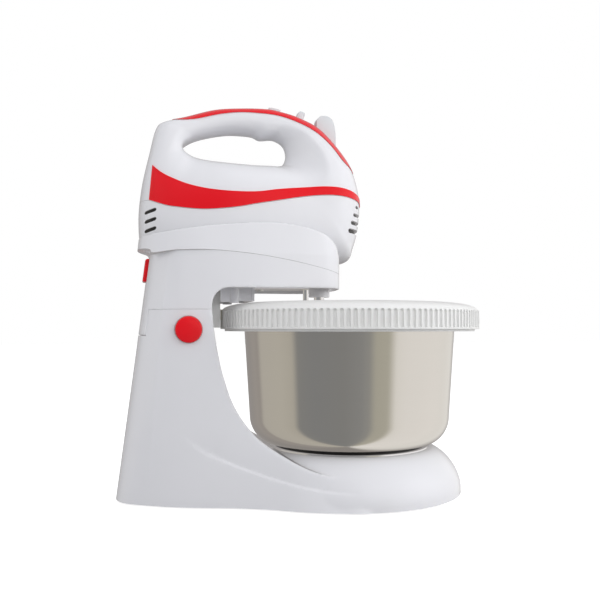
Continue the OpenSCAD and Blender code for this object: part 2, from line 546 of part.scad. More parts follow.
module gear_cover() color("gainsboro") place() difference() {
    translate([0, 0, gear_z + gear_h + 1]) linear_extrude(1.4) union() {
        for (p = [collar_at, [pinion_x, 0]]) translate(p) circle(r = 15);
        translate(collar_at) rotate(train_angle) translate([0, -12])
            square([norm([pinion_x + beater_back, beater_half_gap]), 24]);
    }
    cyl(collar_at[0], collar_at[1], gear_z, 200, collar_r + 0.4);
    cyl(pinion_x, 0, gear_z, 200, 3 + run);
    translate([-24.8, -60, gear_z]) cube([20, 60, 20]);
}
module idler_pins() color("silver") place() for (p = [idler_a_at, idler_b_at]) cyl(p[0], p[1], deck_z, gear_z + gear_h + 1, 2);

// ---- bowl drive ----
module spur(teeth, m, h, phase, bore) difference() {
    rotate(phase) linear_extrude(h) polygon(gear_pts(teeth, m, 0.9, 1.2, 0.25, 3));
    translate([0, 0, -e]) cylinder(r = bore, h = h + 2 * e);
}
// A gear is turned so that its gap meets the tooth of the gear before it along the line of centres.
function frac(v) = v - floor(v);
function next_phase(phase, before, teeth) = let (f = frac((train_angle - phase) * before / 360))
    train_angle + 180 - (0.5 - f) * 360 / teeth;
idler_a_phase = next_phase(train_angle, collar_teeth, idler_a_teeth);
idler_b_phase = next_phase(idler_a_phase, idler_a_teeth, idler_b_teeth);
output_phase = next_phase(idler_b_phase, idler_b_teeth, output_teeth);
module drive_collar() color("whitesmoke") place() translate([collar_at[0], collar_at[1], 0]) difference() {
    union() {
        translate([0, 0, gear_z]) spur(collar_teeth, gear_m, gear_h, train_angle, 1);
        translate([0, 0, arm_bottom - 9]) cylinder(r = collar_r, h = gear_z + gear_h + 1.5 - arm_bottom + 9);
    }
    translate([0, 0, 150]) cylinder(r = beater_shaft_r, h = 50);
}
module idler_a() color("whitesmoke") place() translate([idler_a_at[0], idler_a_at[1], gear_z])
    spur(idler_a_teeth, gear_m, gear_h, idler_a_phase, 2 + run);
module idler_b() color("whitesmoke") place() translate([idler_b_at[0], idler_b_at[1], gear_z])
    spur(idler_b_teeth, gear_m, gear_h, idler_b_phase, 2 + run);
module pinion() color("whitesmoke") place() translate([pinion_x, 0, 0]) {
    translate([0, 0, gear_z]) spur(output_teeth, gear_m, gear_h, output_phase, 1);
    translate([0, 0, 148.2]) rotate(180 / pinion_teeth) linear_extrude(8.6)
        polygon(gear_pts(pinion_teeth, pinion_m, 0.8, 0.9, 0.5, 4));
    cylinder_between(housing_z, 148.2, 2);
    cylinder_between(156.8, gear_z, 4);
    cylinder_between(gear_z, gear_z + gear_h + 2, 3);
}
module cylinder_between(z0, z1, r) translate([0, 0, z0]) cylinder(r = r, h = z1 - z0);
module release_button() color("crimson") place() difference() {
    union() {
        intersection() {
            body_skin(170, 205, -2.9, 2);
            translate([-190, -9, release_z()[0]]) cube([25, 18, release_z()[1] - release_z()[0]]);
        }
        translate([-168, 0, 188.5]) rotate([0, 90, 0]) cylinder(r = 3, h = 14);
        translate([-168, -5, 196]) cube([3, 10, 8]);
        translate([-168.9, -5, 203]) cube([3.9, 10, 2]);
    }
}
module release_spring() color("silver") place() translate([-159, 0, 188.5]) rotate([0, -90, 0]) coil(0.5, 4.2, 3, 0.98);

// ---- hand mixer ----
split_line = concat([[-200, 243.5]], smooth_open(swoosh_low, 2), [[30, 237]]);
module mixer_shell() difference() {
    mixer_skin(0, 2, 20);
    mixer_skin(-mixer_wall, 2, 20);
}
module turbo_cut(gap) translate([-72 - gap, -4.5 - gap, 305]) cube([9.8 + 2 * gap, 9 + 2 * gap, 40]);
slope = 18;
speed_at = [-45.3, 320.4];
module speed_cut(gap) translate([speed_at[0], 0, speed_at[1]]) rotate([0, slope, 0])
    translate([-speed_travel - 3.4 - gap, -3 - gap, -2.8]) cube([speed_travel + 6.8 + 2 * gap, 6 + 2 * gap, 20]);
module eject_cut(gap) translate([-30 - gap, -5 - gap, 280]) cube([17 + 2 * gap, 10 + 2 * gap, 70]);
module mixer_upper_housing() color("white") place() difference() {
    union() {
        intersection() {
            mixer_shell();
            across(concat(split_line, [[30, 350], [-200, 350]]), 60);
        }
        // ribs that hold the switches under the handle's front
        for (s = [-1, 1]) translate([-72, s * 10 - 1, 306]) cube([30, 2, 9]);
    }
    turbo_cut(0.4);
    speed_cut(0.4);
    eject_cut(0.4);
}
module vent(x0, x1, y0, y1, z, h) mirror_y() translate([x0, y0, z - h / 2]) cube([x1 - x0, y1 - y0, h]);
bracket_x = [-131, -69];
bush_z0 = 203.6;
bush_z1 = 211;
gear_plate_z = 246;
module mixer_lower_housing() color("white") place() difference() {
    union() {
        intersection() {
            mixer_shell();
            across(concat([for (p = split_line) [p[0], p[1] - 0.2]], [[30, 180], [-200, 180]]), 60);
        }
        difference() {
            for (x = [-112, -91]) translate([x, 0, 0]) rotate([90, 0, 90]) linear_extrude(3) polygon([[-30, 204.2],
                [-20, 200], [-8, 198], [8, 198], [20, 200], [30, 204.2], [30, 226], [-30, 226]]);
            along(-150, -50, stator_r);
        }
        intersection() {
            for (s = [-1, 1]) {
                cyl(-beater_back, s * beater_half_gap, 190, bush_z1, 10.5);
                cyl(-57, s * 30, 190, gear_plate_z, 3.5);
                cyl(-14, s * 9, 190, gear_plate_z, 3.5);
                cyl(-150, s * 18, 190, 226, 4.5);
            }
            mixer_skin(-1, 2, 20);
        }
    }
    for (s = [-1, 1]) {
        cyl(-beater_back, s * beater_half_gap, 190, bush_z1 + e, 8);
        cyl(-beater_back, s * beater_half_gap, motor_z - 4.6, motor_z + 4.6, 16 * wheel_m + 0.6);
        cyl(-150, s * 18, 190, 224, 1.5);
        cyl(-150, s * 18, 190, 201, 3.2);
    }
    for (i = [0:2]) vent(-190, -168, 6, 40, 234.7 - 7.1 * i, 3.4);
    for (i = [0:3]) vent(-4 - 2.5 * i, i == 0 ? 0 : 30, 9.6, 40, 242.6 - (i == 2 ? 6.55 : 6.8) * i, 2.5 + 0.42 * i);
    translate([-190, 14, motor_z - 4]) rotate([0, 90, 0]) cylinder(r = 6 + run, h = 30);
    translate([-190, 14, motor_z - 4]) rotate([0, 90, 0]) cylinder(r = 8.3, h = 10.2);
    translate([-170.5, -6.5, 190]) cube([10, 13, 17]);
}
// Lower edge of the trim over the handle and the front, rear to front.
trim_edge = [[-158, 318], [-153, 312.6], [-146, 311.6], [-133.5, 313.3], [-116.2, 318.1], [-99.3, 321.1], [-82.9, 321.5],
    [-64.8, 320.4], [-49, 315.4], [-34, 306.4], [-23.8, 294.9], [-15, 282.1], [-8, 279.5], [2, 278.5], [20, 278]];
module top_trim() color("crimson") place() difference() {
    intersection() {
        mixer_skin(0.8, 2, 20);
        across(concat(smooth_open(trim_edge, 2), [[30, 350], [-158, 350]]), 60);
    }
    mixer_skin(0, 2, 20);
    turbo_cut(0.4);
    speed_cut(0.4);
    eject_cut(0.4);
}
module side_trim(s) difference() {
    intersection() {
        mixer_skin(0.8, 2, 20);
        across(concat(smooth_open(swoosh_top, 2), reversed(smooth_open([for (p = swoosh_low) [p[0], p[1] + 0.2]], 2))), 60);
        translate([-300, s > 0 ? 4 : -64, 200]) cube([400, 60, 100]);
    }
    mixer_skin(0, 2, 20);
}
module side_trim_left() color("crimson") place() side_trim(-1);
module side_trim_right() color("crimson") place() side_trim(1);
module housing_screws() color("silver") place() for (s = [-1, 1]) {
    cyl(-150, s * 18, 201, 223, 1.5);
    cyl(-150, s * 18, 199.6, 201, 3);
}
module cord_inlet() color("white") place() translate([-180.6, 14, motor_z - 4]) rotate([0, 90, 0]) difference() {
    union() {
        cylinder(r = 6, h = 6);
        cylinder(r = 8, h = 0.8);
    }
    translate([0, 0, -e]) cylinder(r = 3.6, h = 8);
}

// ---- motor ----
stator_r = 27;
stator = [-118, -82];
module motor_stator() color("gray") place() sleeve(stator[0], stator[1], stator_r, 17.8);
module field_coils() color("peru") place() {
    sleeve(stator[0] - 7, stator[0], 23, 18.6);
    sleeve(stator[1], stator[1] + 7, 23, 18.6);
}
module motor_bracket(x, t) difference() {
    union() {
        along(x, x + 3, stator_r - 1);
        for (a = [45:90:315]) translate([0, 24.6 * cos(a), 24.6 * sin(a)]) along(min(x, t), max(x + 3, t), 1.3);
    }
    along(x - e, x + 3 + e, 8);
}
module motor_bracket_rear() color("lightgray") place() motor_bracket(bracket_x[0], stator[0]);
module motor_bracket_front() color("lightgray") place() motor_bracket(bracket_x[1] - 3, stator[1]);
module bearing_rear() color("goldenrod") place() sleeve(bracket_x[0] - 2, bracket_x[0] + 5, 8, shaft_r + run);
module bearing_front() color("goldenrod") place() sleeve(bracket_x[1] - 5, bracket_x[1] + 2, 8, shaft_r + run);
module motor_shaft() color("silver") place() along(-139, -17, shaft_r);
module armature_core() color("dimgray") place() sleeve(stator[0] + 1, stator[1] - 1, 17, shaft_r);
module armature_windings() color("peru") place() {
    sleeve(stator[0] - 2.5, stator[0] + 1, 14, shaft_r);
    sleeve(stator[1] - 1, stator[1] + 3, 14, shaft_r);
}
module commutator() color("goldenrod") place() sleeve(stator[0] - 7.5, stator[0] - 2.5, 9, shaft_r);
module brush_holders() color("saddlebrown") place() for (s = [-1, 1])
    translate([stator[0] - 7, s > 0 ? 9.3 : -18.3, motor_z - 2.5]) cube([4, 9, 5]);
module fan() color("dimgray") place() difference() {
    union() {
        along(-64, -56, 7);
        along(-64, -62.6, 24);
        for (a = [0:45:315]) translate([0, 0, motor_z]) rotate([a, 0, 0]) translate([-63, -0.6, 6]) cube([7, 1.2, 17]);
    }
    along(-65, -55, shaft_r);
}
wheel_m = 2 * (beater_half_gap - 6) / 30;
module worm() color("gold") place() difference() {
    union() {
        along(-45, -21, 4.8);
        for (i = [0:4]) along(-44.2 + i * 5, -42.6 + i * 5, 5.4);
    }
    along(-46, -20, shaft_r);
}
module worm_wheel(s) translate([-beater_back, s * beater_half_gap, 0]) difference() {
    union() {
        translate([0, 0, motor_z - 4]) linear_extrude(8) polygon(gear_pts(30, wheel_m, 0.3, 1, 0.2, 2));
        cylinder_between(201, gear_plate_z + 3, 5);
    }
    cylinder_between(200, 260, beater_shaft_r + run);
}
module worm_wheel_left() color("whitesmoke") place() worm_wheel(-1);
module worm_wheel_right() color("whitesmoke") place() worm_wheel(1);
module spindle_bushes() color("goldenrod") place() for (s = [-1, 1])
    tube(-beater_back, s * beater_half_gap, bush_z0, bush_z1, 8, 5 + run);
module gearbox_plate() color("lightgray") place() difference() {
    translate([-61, -34, gear_plate_z]) cube([50, 68, 3]);
    for (s = [-1, 1]) {
        cyl(-beater_back, s * beater_half_gap, gear_plate_z - 1, gear_plate_z + 4, 5 + run);
        translate([-16, s * 30 - 16, gear_plate_z - 1]) cube([20, 32, 5]);
    }
    translate([-62, -25, gear_plate_z - 1]) cube([8.5, 50, 5]);    // clear of the fan
}

// ---- controls ----
module speed_switch() color("dimgray") place() {
    translate([-72, -9, 307.6]) cube([10, 18, 10.2]);
    translate([-60, -9, 307.6]) cube([18, 18, 5.4]);
}
module turbo_button() color("white") place() intersection() {
    translate([-72, -4.5, 317.8 + turbo_travel]) cube([9.8, 9, 20]);
    mixer_skin(3, 2, 20);
}
module speed_slider() color("white") place() translate([speed_at[0], 0, speed_at[1]]) rotate([0, slope, 0]) {
    translate([-3.2, -3, -4]) cube([6.4, 6, 13]);
    translate([-3.2, -5, -5.4]) cube([8.2, 10, 1.4]);
}
eject_side = [[-30, 290], [-30, 321.4], [-28.6, 324], [-25.5, 325.5], [-21.5, 325.8], [-17.6, 324.4], [-15, 320.6],
    [-13.4, 315], [-13, 307], [-13, 290]];
module eject_button() color("white") place() {
    across(eject_side, 5);
    cyl(-24, 0, 258, 291, 2.5);
    translate([-37, -28, 258]) cube([17, 56, 2]);
    for (s = [-1, 1]) cyl(-beater_back, s * beater_half_gap, 230.6, 259, 2.2);
}
module eject_spring() color("silver") place() translate([-24, 0, gear_plate_z + 3.5]) coil(0.5, 4, 3, 0.98);

// ---- beaters ----
module beater(s) translate([-beater_back, s * beater_half_gap, 0]) {
    cylinder_between(cage_top - 4, 224, beater_shaft_r);
    for (a = [0, 90]) rotate(a + 45) difference() {
        across(concat(arc(0, beater_z0 + 24, cage_r, 24, -180, 0, 16), arc(0, cage_top - 24, cage_r, 24, 0, 180, 16)), 2);
        across(concat(arc(0, beater_z0 + 24, cage_r - 1.5, 22.5, -180, 0, 16),
            arc(0, cage_top - 24, cage_r - 1.5, 22.5, 0, 180, 16)), 3);
    }
    cylinder_between(beater_z0, beater_z0 + 3, 3.5);
    cylinder_between(cage_top - 6, cage_top, 4);
}
module beater_left() color("silver") place() beater(-1);
module beater_right() color("silver") place() beater(1);

base_shell();
base_plate();
base_feet();
base_screws();
spindle();
spindle_washer();
turntable();
turntable_rim();
bowl();
bowl_ring();
hinge_block();
hinge_pin();
tilt_button();
tilt_spring();
arm_shell();
arm_cover();
arm_screws();
pinion_housing();
guide_bush();
gear_cover();
idler_pins();
drive_collar();
idler_a();
idler_b();
pinion();
release_button();
release_spring();
mixer_upper_housing();
mixer_lower_housing();
top_trim();
side_trim_left();
side_trim_right();
housing_screws();
cord_inlet();
motor_stator();
field_coils();
motor_bracket_rear();
motor_bracket_front();
bearing_rear();
bearing_front();
motor_shaft();
armature_core();
armature_windings();
commutator();
brush_holders();
fan();
worm();
worm_wheel_left();
worm_wheel_right();
spindle_bushes();
gearbox_plate();
speed_switch();
turbo_button();
speed_slider();
eject_button();
eject_spring();
beater_left();
beater_right();
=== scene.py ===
"""Looks of a stand mixer: a hand mixer docked on a tilting arm, over a bowl that turns on its base.

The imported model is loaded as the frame. Outlines are worked out in millimetres with the bowl's
axis at X = 0, and place() moves them into the frame, in metres.
"""

import itertools
import json
import math

import bpy
from mathutils import Matrix, Vector

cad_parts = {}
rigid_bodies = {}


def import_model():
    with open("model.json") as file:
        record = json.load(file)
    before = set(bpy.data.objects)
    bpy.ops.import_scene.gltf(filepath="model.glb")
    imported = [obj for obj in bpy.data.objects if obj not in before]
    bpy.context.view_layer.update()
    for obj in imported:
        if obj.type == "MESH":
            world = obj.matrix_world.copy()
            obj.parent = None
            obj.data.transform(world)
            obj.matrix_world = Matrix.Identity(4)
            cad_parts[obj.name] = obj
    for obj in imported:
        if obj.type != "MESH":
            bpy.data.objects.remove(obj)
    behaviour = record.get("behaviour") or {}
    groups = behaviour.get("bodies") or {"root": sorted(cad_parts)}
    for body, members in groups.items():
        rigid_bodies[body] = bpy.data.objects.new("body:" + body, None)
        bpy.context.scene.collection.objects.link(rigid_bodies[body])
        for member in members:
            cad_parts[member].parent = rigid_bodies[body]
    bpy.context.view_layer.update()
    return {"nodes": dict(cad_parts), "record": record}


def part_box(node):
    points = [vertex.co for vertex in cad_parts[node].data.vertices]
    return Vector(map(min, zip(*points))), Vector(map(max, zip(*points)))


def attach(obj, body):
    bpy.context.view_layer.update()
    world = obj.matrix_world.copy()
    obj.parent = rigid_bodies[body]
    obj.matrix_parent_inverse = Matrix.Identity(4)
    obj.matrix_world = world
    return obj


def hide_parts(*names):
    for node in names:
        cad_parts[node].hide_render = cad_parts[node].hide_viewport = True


bl_info = {
    "name": "Stand mixer",
    "version": (1, 0, 0),
    "blender": (4, 5, 0),
    "location": "3D View > Sidebar > Stand mixer",
    "description": "Models and finishes the shells, bowl and controls of a stand mixer",
    "category": "Add Mesh",
}

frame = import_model()

MM = 0.001
# Half the breadth of a cut right through the machine, in millimetres.
THROUGH = 70


def middle(node):
    """The centre of a CAD node's box, in millimetres."""
    low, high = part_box(node)
    return (low + high) / 2 / MM


BOWL_X = middle("bowl").x


# ---- sizes and colours that a user would change ----


def size_property(name, description, default, low, high, **more):
    return bpy.props.FloatProperty(
        name=name, description=description, default=default, min=low, max=high, **more
    )


def colour_property(name, description, default):
    return bpy.props.FloatVectorProperty(
        name=name, description=description, subtype="COLOR", size=3, default=default, min=0, max=1
    )


class MixerSizes(bpy.types.PropertyGroup):
    """Sizes of the visible shells, in millimetres."""

    trim_proud: size_property(
        "Trim height", "How far the red trims stand proud of the housings, in millimetres", 0.8, 0.3, 1.5
    )
    shell_wall: size_property("Wall", "Wall of the hand mixer's housings, in millimetres", 2.5, 1.5, 4)
    edge_round: size_property(
        "Edge rounding", "Voxel size that rounds the edges of the base, in millimetres", 1.2, 0.8, 2.5
    )
    ring_teeth: bpy.props.IntProperty(
        name="Ring teeth",
        description="Number of ribs round the splash ring",
        default=140,
        min=100,
        max=180,
    )
    floor_reach: size_property("Floor", "Half the width of the floor", 6.0, 2, 12, unit="LENGTH")


class MixerColours(bpy.types.PropertyGroup):
    """Colours of the main finishes, as linear values."""

    shell: colour_property("Shell", "Gloss white of the housings and base", (0.77, 0.77, 0.80))
    trim: colour_property("Trim", "Gloss red of the trims and buttons", (0.77, 0.004, 0.012))
    ring: colour_property("Splash ring", "Satin off-white of the ring on the bowl", (0.80, 0.80, 0.79))
    steel: colour_property("Bowl steel", "Brushed steel of the bowl", (0.66, 0.64, 0.60))


def sizes():
    return bpy.context.scene.mixer_sizes


def colours():
    return bpy.context.scene.mixer_colours


# ---- shader maths ----


class Value:
    """A shader socket; arithmetic on it adds Math nodes."""

    def __init__(self, finish, socket):
        self.finish = finish
        self.socket = socket

    def math(self, operation, *others):
        inputs = [self.socket] + [o.socket if isinstance(o, Value) else o for o in others]
        return self.finish.node("ShaderNodeMath", {"operation": operation}, dict(enumerate(inputs)))

    def __add__(self, other):
        return self.math("ADD", other)

    def __mul__(self, other):
        return self.math("MULTIPLY", other)

    def __pow__(self, other):
        return self.math("POWER", other)

    __radd__ = __add__
    __rmul__ = __mul__


class Finish:
    """A material or world tree, with one method that adds any node."""

    SOCKETS = {"colour": "Base Color", "rough": "Roughness", "metal": "Metallic", "normal": "Normal"}
    SOCKETS.update(coat="Coat Weight", coat_rough="Coat Roughness", shine="Specular IOR Level", index="IOR")

    def __init__(self, tree):
        self.tree = tree
        self.shader = tree.nodes.get("Principled BSDF")

    def connect(self, **inputs):
        """Sets or links the sockets of the Principled shader."""
        for key, value in inputs.items():
            socket = self.shader.inputs[self.SOCKETS[key]]
            if isinstance(value, Value):
                self.tree.links.new(value.socket, socket)
            else:
                socket.default_value = value

    def node(self, kind, settings, inputs, output=0):
        made = self.tree.nodes.new(kind)
        for key, value in settings.items():
            if key == "stops":
                ramp = made.color_ramp
                while len(ramp.elements) < len(value):
                    ramp.elements.new(1.0)
                for element, (place, colour) in zip(ramp.elements, value):
                    element.position = place
                    element.color = colour
            else:
                setattr(made, key, value)
        for key, value in inputs.items():
            if isinstance(value, Value):
                value = value.socket
            if isinstance(value, bpy.types.NodeSocket):
                self.tree.links.new(value, made.inputs[key])
            else:
                made.inputs[key].default_value = value
        return Value(self, made.outputs[output])

    def place(self, scale=(1, 1, 1), shift=(0, 0, 0)):
        """Object coordinates, scaled and shifted."""
        spot = self.node("ShaderNodeTexCoord", {}, {}, "Object")
        return self.node("ShaderNodeMapping", {}, {"Vector": spot, "Scale": scale, "Location": shift})

    def noise(self, scale, detail=2.0, vector=None, rough=0.5):
        vector = vector or self.place()
        fields = {"Vector": vector, "Scale": scale, "Detail": detail, "Roughness": rough}
        return self.node("ShaderNodeTexNoise", {}, fields)

    def blend(self, factor, low, high):
        """A colour between two colours."""
        made = self.tree.nodes.new("ShaderNodeMix")
        made.data_type = "RGBA"
        self.tree.links.new(factor.socket, made.inputs[0])
        for index, colour in ((6, low), (7, high)):
            if isinstance(colour, Value):
                self.tree.links.new(colour.socket, made.inputs[index])
            else:
                made.inputs[index].default_value = (*colour[:3], 1)
        return Value(self, made.outputs[2])

    def bump(self, height, strength, distance):
        fields = {"Height": height, "Strength": strength, "Distance": distance}
        return self.node("ShaderNodeBump", {}, fields, "Normal")


def start(name):
    """An empty material and its Finish."""
    material = bpy.data.materials.new(name)
    material.use_nodes = True
    return material, Finish(material.node_tree)


def shade(colour, factor):
    return tuple(min(1.0, c * factor) for c in colour[:3])


def gloss_plastic(name, colour, rough=0.16, ripple=0.12, coat=0.35, shine=0.5):
    """Moulded gloss plastic: faint flow clouds, a slow ripple and fine handling marks."""
    material, finish = start(name)
    clouds = finish.noise(18, 3)
    marks = finish.noise(420, 4, rough=0.7)
    ripples = finish.noise(90, 2)
    finish.connect(
        colour=finish.blend(clouds, shade(colour, 0.975), shade(colour, 1.02)),
        rough=rough + 0.05 * clouds + 0.06 * marks ** 4.0,
        normal=finish.bump(ripples + 0.08 * marks, ripple, 0.00012),
        coat=coat,
        coat_rough=0.06,
        shine=shine,
        index=1.48,
    )
    return material


def satin_plastic(name, colour, rough=0.38, grain=900.0, depth=0.00002):
    """Moulded plastic with a fine spark-eroded grain."""
    material, finish = start(name)
    clouds = finish.noise(30, 3)
    pits = finish.noise(grain, 3, rough=0.6)
    finish.connect(
        colour=finish.blend(clouds, shade(colour, 0.95), shade(colour, 1.03)),
        rough=rough + 0.08 * clouds + 0.05 * pits,
        normal=finish.bump(pits, 0.35, depth),
    )
    return material


def machined_metal(name, colour, rough=0.28, axis="Z", lines=2600.0, spread=0.12, depth=0.000012):
    """Drawn or turned metal with fine lines across one axis."""
    material, finish = start(name)
    stretch = {"X": (lines, 30, 30), "Y": (30, lines, 30), "Z": (30, 30, lines)}[axis]
    hair = finish.noise(1.0, 3, finish.place(stretch), 0.6)
    clouds = finish.noise(24, 3)
    finish.connect(
        colour=finish.blend(hair * 0.6 + clouds * 0.4, shade(colour, 0.88), shade(colour, 1.08)),
        rough=rough + spread * hair + 0.06 * clouds,
        metal=1.0,
        normal=finish.bump(hair, 0.4, depth),
    )
    return material


def laminated_iron(name, pitch=0.0007):
    """Stacked iron sheets, seen as fine rings along the motor's axis."""
    material, finish = start(name)
    sheets = finish.node(
        "ShaderNodeTexWave",
        {"bands_direction": "X", "wave_profile": "SAW"},
        {"Vector": finish.place(), "Scale": 0.314 / pitch, "Distortion": 0.4, "Detail": 1.0},
        1,
    )
    blotch = finish.noise(120, 4)
    finish.connect(
        colour=finish.blend(blotch, (0.05, 0.05, 0.055), (0.11, 0.105, 0.1)),
        rough=0.42 + 0.2 * blotch,
        metal=0.85,
        normal=finish.bump(sheets, 0.5, 0.0001),
    )
    return material


def wound_copper(name, turn=0.0009):
    """Enamelled wire wound side by side."""
    material, finish = start(name)
    wire = finish.node(
        "ShaderNodeTexWave",
        {"bands_direction": "DIAGONAL", "wave_profile": "SIN"},
        {"Vector": finish.place(), "Scale": 0.314 / turn, "Distortion": 1.2, "Detail": 2.0},
        1,
    )
    tint = finish.noise(300, 3)
    finish.connect(
        colour=finish.blend(tint, (0.42, 0.13, 0.05), (0.62, 0.24, 0.1)),
        rough=0.24 + 0.16 * wire,
        metal=0.9,
        normal=finish.bump(wire, 0.7, 0.0002),
    )
    return material


def rubber(name):
    material, finish = start(name)
    dust = finish.noise(240, 5, rough=0.7)
    finish.connect(
        colour=finish.blend(dust, (0.012, 0.012, 0.013), (0.04, 0.039, 0.038)),
        rough=0.62 + 0.2 * dust,
        normal=finish.bump(dust, 0.5, 0.00005),
    )
    return material


def bowl_steel(name, colour):
    """Steel brushed round the bowl: hair lines level with its rim, wiped a little uneven."""
    material, finish = start(name)
    hair = finish.noise(1.0, 3, finish.place((18, 18, 3400)), 0.6)
    streaks = finish.noise(1.0, 2, finish.place((60, 60, 500)), 0.5)
    wipe = finish.noise(9, 3)
    finish.connect(
        colour=finish.blend(hair * 0.5 + wipe * 0.5, shade(colour, 0.93), shade(colour, 1.05)),
        rough=0.07 + 0.04 * hair + 0.03 * streaks + 0.03 * wipe,
        metal=1.0,
        normal=finish.bump(hair + streaks * 0.5, 0.22, 0.00001),
    )
    return material


finishes = {}


def make_finishes():
    """Every material of the machine, by the record's slot name."""
    c = colours()
    finishes.update(
        white_gloss=gloss_plastic("gloss white shell", c.shell),
        ring_white=satin_plastic("satin ring white", c.ring, 0.3, 700, 0.00001),
        red_gloss=gloss_plastic("gloss red trim", c.trim, 0.12, 0.08, 0.0, 0.36),
        # The controls' cool blue-green tint is painted: it offsets the pink light that the red trims bounce
        # onto the keys.
        control_white=gloss_plastic("satin control white", (0.68, 0.73, 0.75), 0.26, 0.1, 0.1),
        inner_grey=satin_plastic("inner grey", (0.27, 0.27, 0.29)),
        dark_plastic=satin_plastic("dark plastic", (0.012, 0.011, 0.011), 0.42),
        nylon=satin_plastic("natural nylon", (0.70, 0.68, 0.61), 0.42, 500),
        rubber=rubber("foot rubber"),
        bowl_steel=bowl_steel("brushed bowl steel", c.steel),
        bright_metal=machined_metal("polished chrome", (0.8, 0.8, 0.81), 0.08, "Z", 600, 0.04, 0.000004),
        steel=machined_metal("zinc plated steel", (0.56, 0.56, 0.55), 0.3),
        lamination=laminated_iron("motor laminations"),
        bracket=machined_metal("cast bracket", (0.5, 0.5, 0.51), 0.42, "X", 500, 0.2),
        bearing_bronze=machined_metal("sintered bronze", (0.5, 0.3, 0.12), 0.4, "X", 900, 0.1),
        copper=wound_copper("wound copper"),
    )


# ---- outlines, in millimetres with the bowl's axis at X = 0 ----


def spline(a, b, c, d, t):
    """A point between b and c on the smooth curve through a, b, c and d."""
    return tuple(
        0.5 * (2 * q + (r - p) * t + (2 * p - 5 * q + 4 * r - s) * t * t + (3 * q - p - 3 * r + s) * t**3)
        for p, q, r, s in zip(a, b, c, d)
    )


def smooth_open(points, steps):
    """A smooth curve through points, with a number of steps between each two."""
    last = len(points) - 1
    made = []
    for i in range(last):
        near = [points[min(max(i + k, 0), last)] for k in (-1, 0, 1, 2)]
        made += [spline(*near, k / steps) for k in range(steps)]
    return made + [tuple(points[-1])]


def smooth_loop(points, steps):
    count = len(points)
    made = []
    for i in range(count):
        near = [points[(i + k) % count] for k in (-1, 0, 1, 2)]
        made += [spline(*near, k / steps) for k in range(steps)]
    return made


def arc(cx, cy, rx, ry, start_deg, end_deg, steps):
    """Points along part of an ellipse."""
    made = []
    for i in range(steps + 1):
        a = math.radians(start_deg + (end_deg - start_deg) * i / steps)
        made.append((cx + rx * math.cos(a), cy + ry * math.sin(a)))
    return made


def mix(a, b, t):
    """The value a share t of the way from a to b."""
    return a + (b - a) * t


def place(point):
    """From millimetres round the bowl's axis to metres in the frame."""
    return ((point[0] + BOWL_X) * MM, point[1] * MM, point[2] * MM)


# ---- modelling helpers ----


def deselect():
    if bpy.context.object and bpy.context.object.mode != "OBJECT":
        bpy.ops.object.mode_set(mode="OBJECT")
    bpy.ops.object.select_all(action="DESELECT")


def choose(piece):
    deselect()
    piece.select_set(True)
    bpy.context.view_layer.objects.active = piece


def link(name, data):
    """A new object in the scene, for a mesh, a lamp or a camera."""
    made = bpy.data.objects.new(name, data)
    bpy.context.scene.collection.objects.link(made)
    return made


def new_mesh(name, points, edges, faces, **spin):
    """A mesh piece from points in millimetres, spun if asked, its faces turned outwards."""
    mesh = bpy.data.meshes.new(name)
    mesh.from_pydata([place(p) for p in points], edges, faces)
    piece = link(name, mesh)
    choose(piece)
    bpy.ops.object.mode_set(mode="EDIT")
    bpy.ops.mesh.select_all(action="SELECT")
    if spin:
        bpy.ops.mesh.spin(angle=2 * math.pi, axis=(0, 0, 1), use_auto_merge=True, **spin)
        bpy.ops.mesh.select_all(action="SELECT")
    bpy.ops.mesh.remove_doubles(threshold=1e-6)
    bpy.ops.mesh.normals_make_consistent(inside=False)
    bpy.ops.object.mode_set(mode="OBJECT")
    return piece


def loft(name, rings, closed=False):
    """A skin through rings of equally many points; its ends are closed unless it is a loop."""
    around = len(rings[0])
    faces = []
    for k in range(len(rings) if closed else len(rings) - 1):
        a, b = k * around, (k + 1) % len(rings) * around
        faces += [(a + i, a + (i + 1) % around, b + (i + 1) % around, b + i) for i in range(around)]
    if not closed:
        faces += [tuple(range(around)), tuple((len(rings) - 1) * around + i for i in range(around))]
    return new_mesh(name, [p for ring in rings for p in ring], [], faces)


def prism(name, outline, y0=-THROUGH, y1=THROUGH):
    """A plate with an outline in the XZ plane, from Y = y0 to y1, or right through the machine."""
    count = len(outline)
    points = [(x, y, z) for y in (y0, y1) for x, z in outline]
    faces = [(i, (i + 1) % count, count + (i + 1) % count, count + i) for i in range(count)]
    return new_mesh(name, points, [], faces + [tuple(range(count)), tuple(range(count, 2 * count))])


def lathe(name, profile, steps=128):
    """A profile of (radius, height) spun round the bowl's axis."""
    edges = [(i, i + 1) for i in range(len(profile) - 1)]
    return new_mesh(name, [(r, 0, z) for r, z in profile], edges, [], steps=steps, center=place((0, 0, 0)))


def rod(name, low, high, radius, sides=48):
    """A cylinder between two points, in millimetres."""
    a, b = Vector(place(low)), Vector(place(high))
    deselect()
    bpy.ops.mesh.primitive_cylinder_add(
        vertices=sides, radius=radius * MM, depth=(b - a).length, location=(a + b) / 2
    )
    piece = bpy.context.object
    piece.name = name
    piece.rotation_euler = (b - a).to_track_quat("Z", "Y").to_euler()
    return settle(piece)


def block(name, low, high):
    """A box between two corners, in millimetres."""
    a, b = Vector(place(low)), Vector(place(high))
    deselect()
    bpy.ops.mesh.primitive_cube_add(size=1, location=(a + b) / 2)
    piece = bpy.context.object
    piece.name = name
    piece.scale = b - a
    return settle(piece)


def settle(piece):
    """Puts a piece's location into its mesh, so that its object sits at the origin."""
    choose(piece)
    bpy.ops.object.transform_apply(location=True, rotation=True, scale=True)
    return piece


def apply(piece, kind, **settings):
    choose(piece)
    modifier = piece.modifiers.new(kind.title(), kind)
    for key, value in settings.items():
        setattr(modifier, key, value)
    bpy.ops.object.modifier_apply(modifier=modifier.name)
    return piece


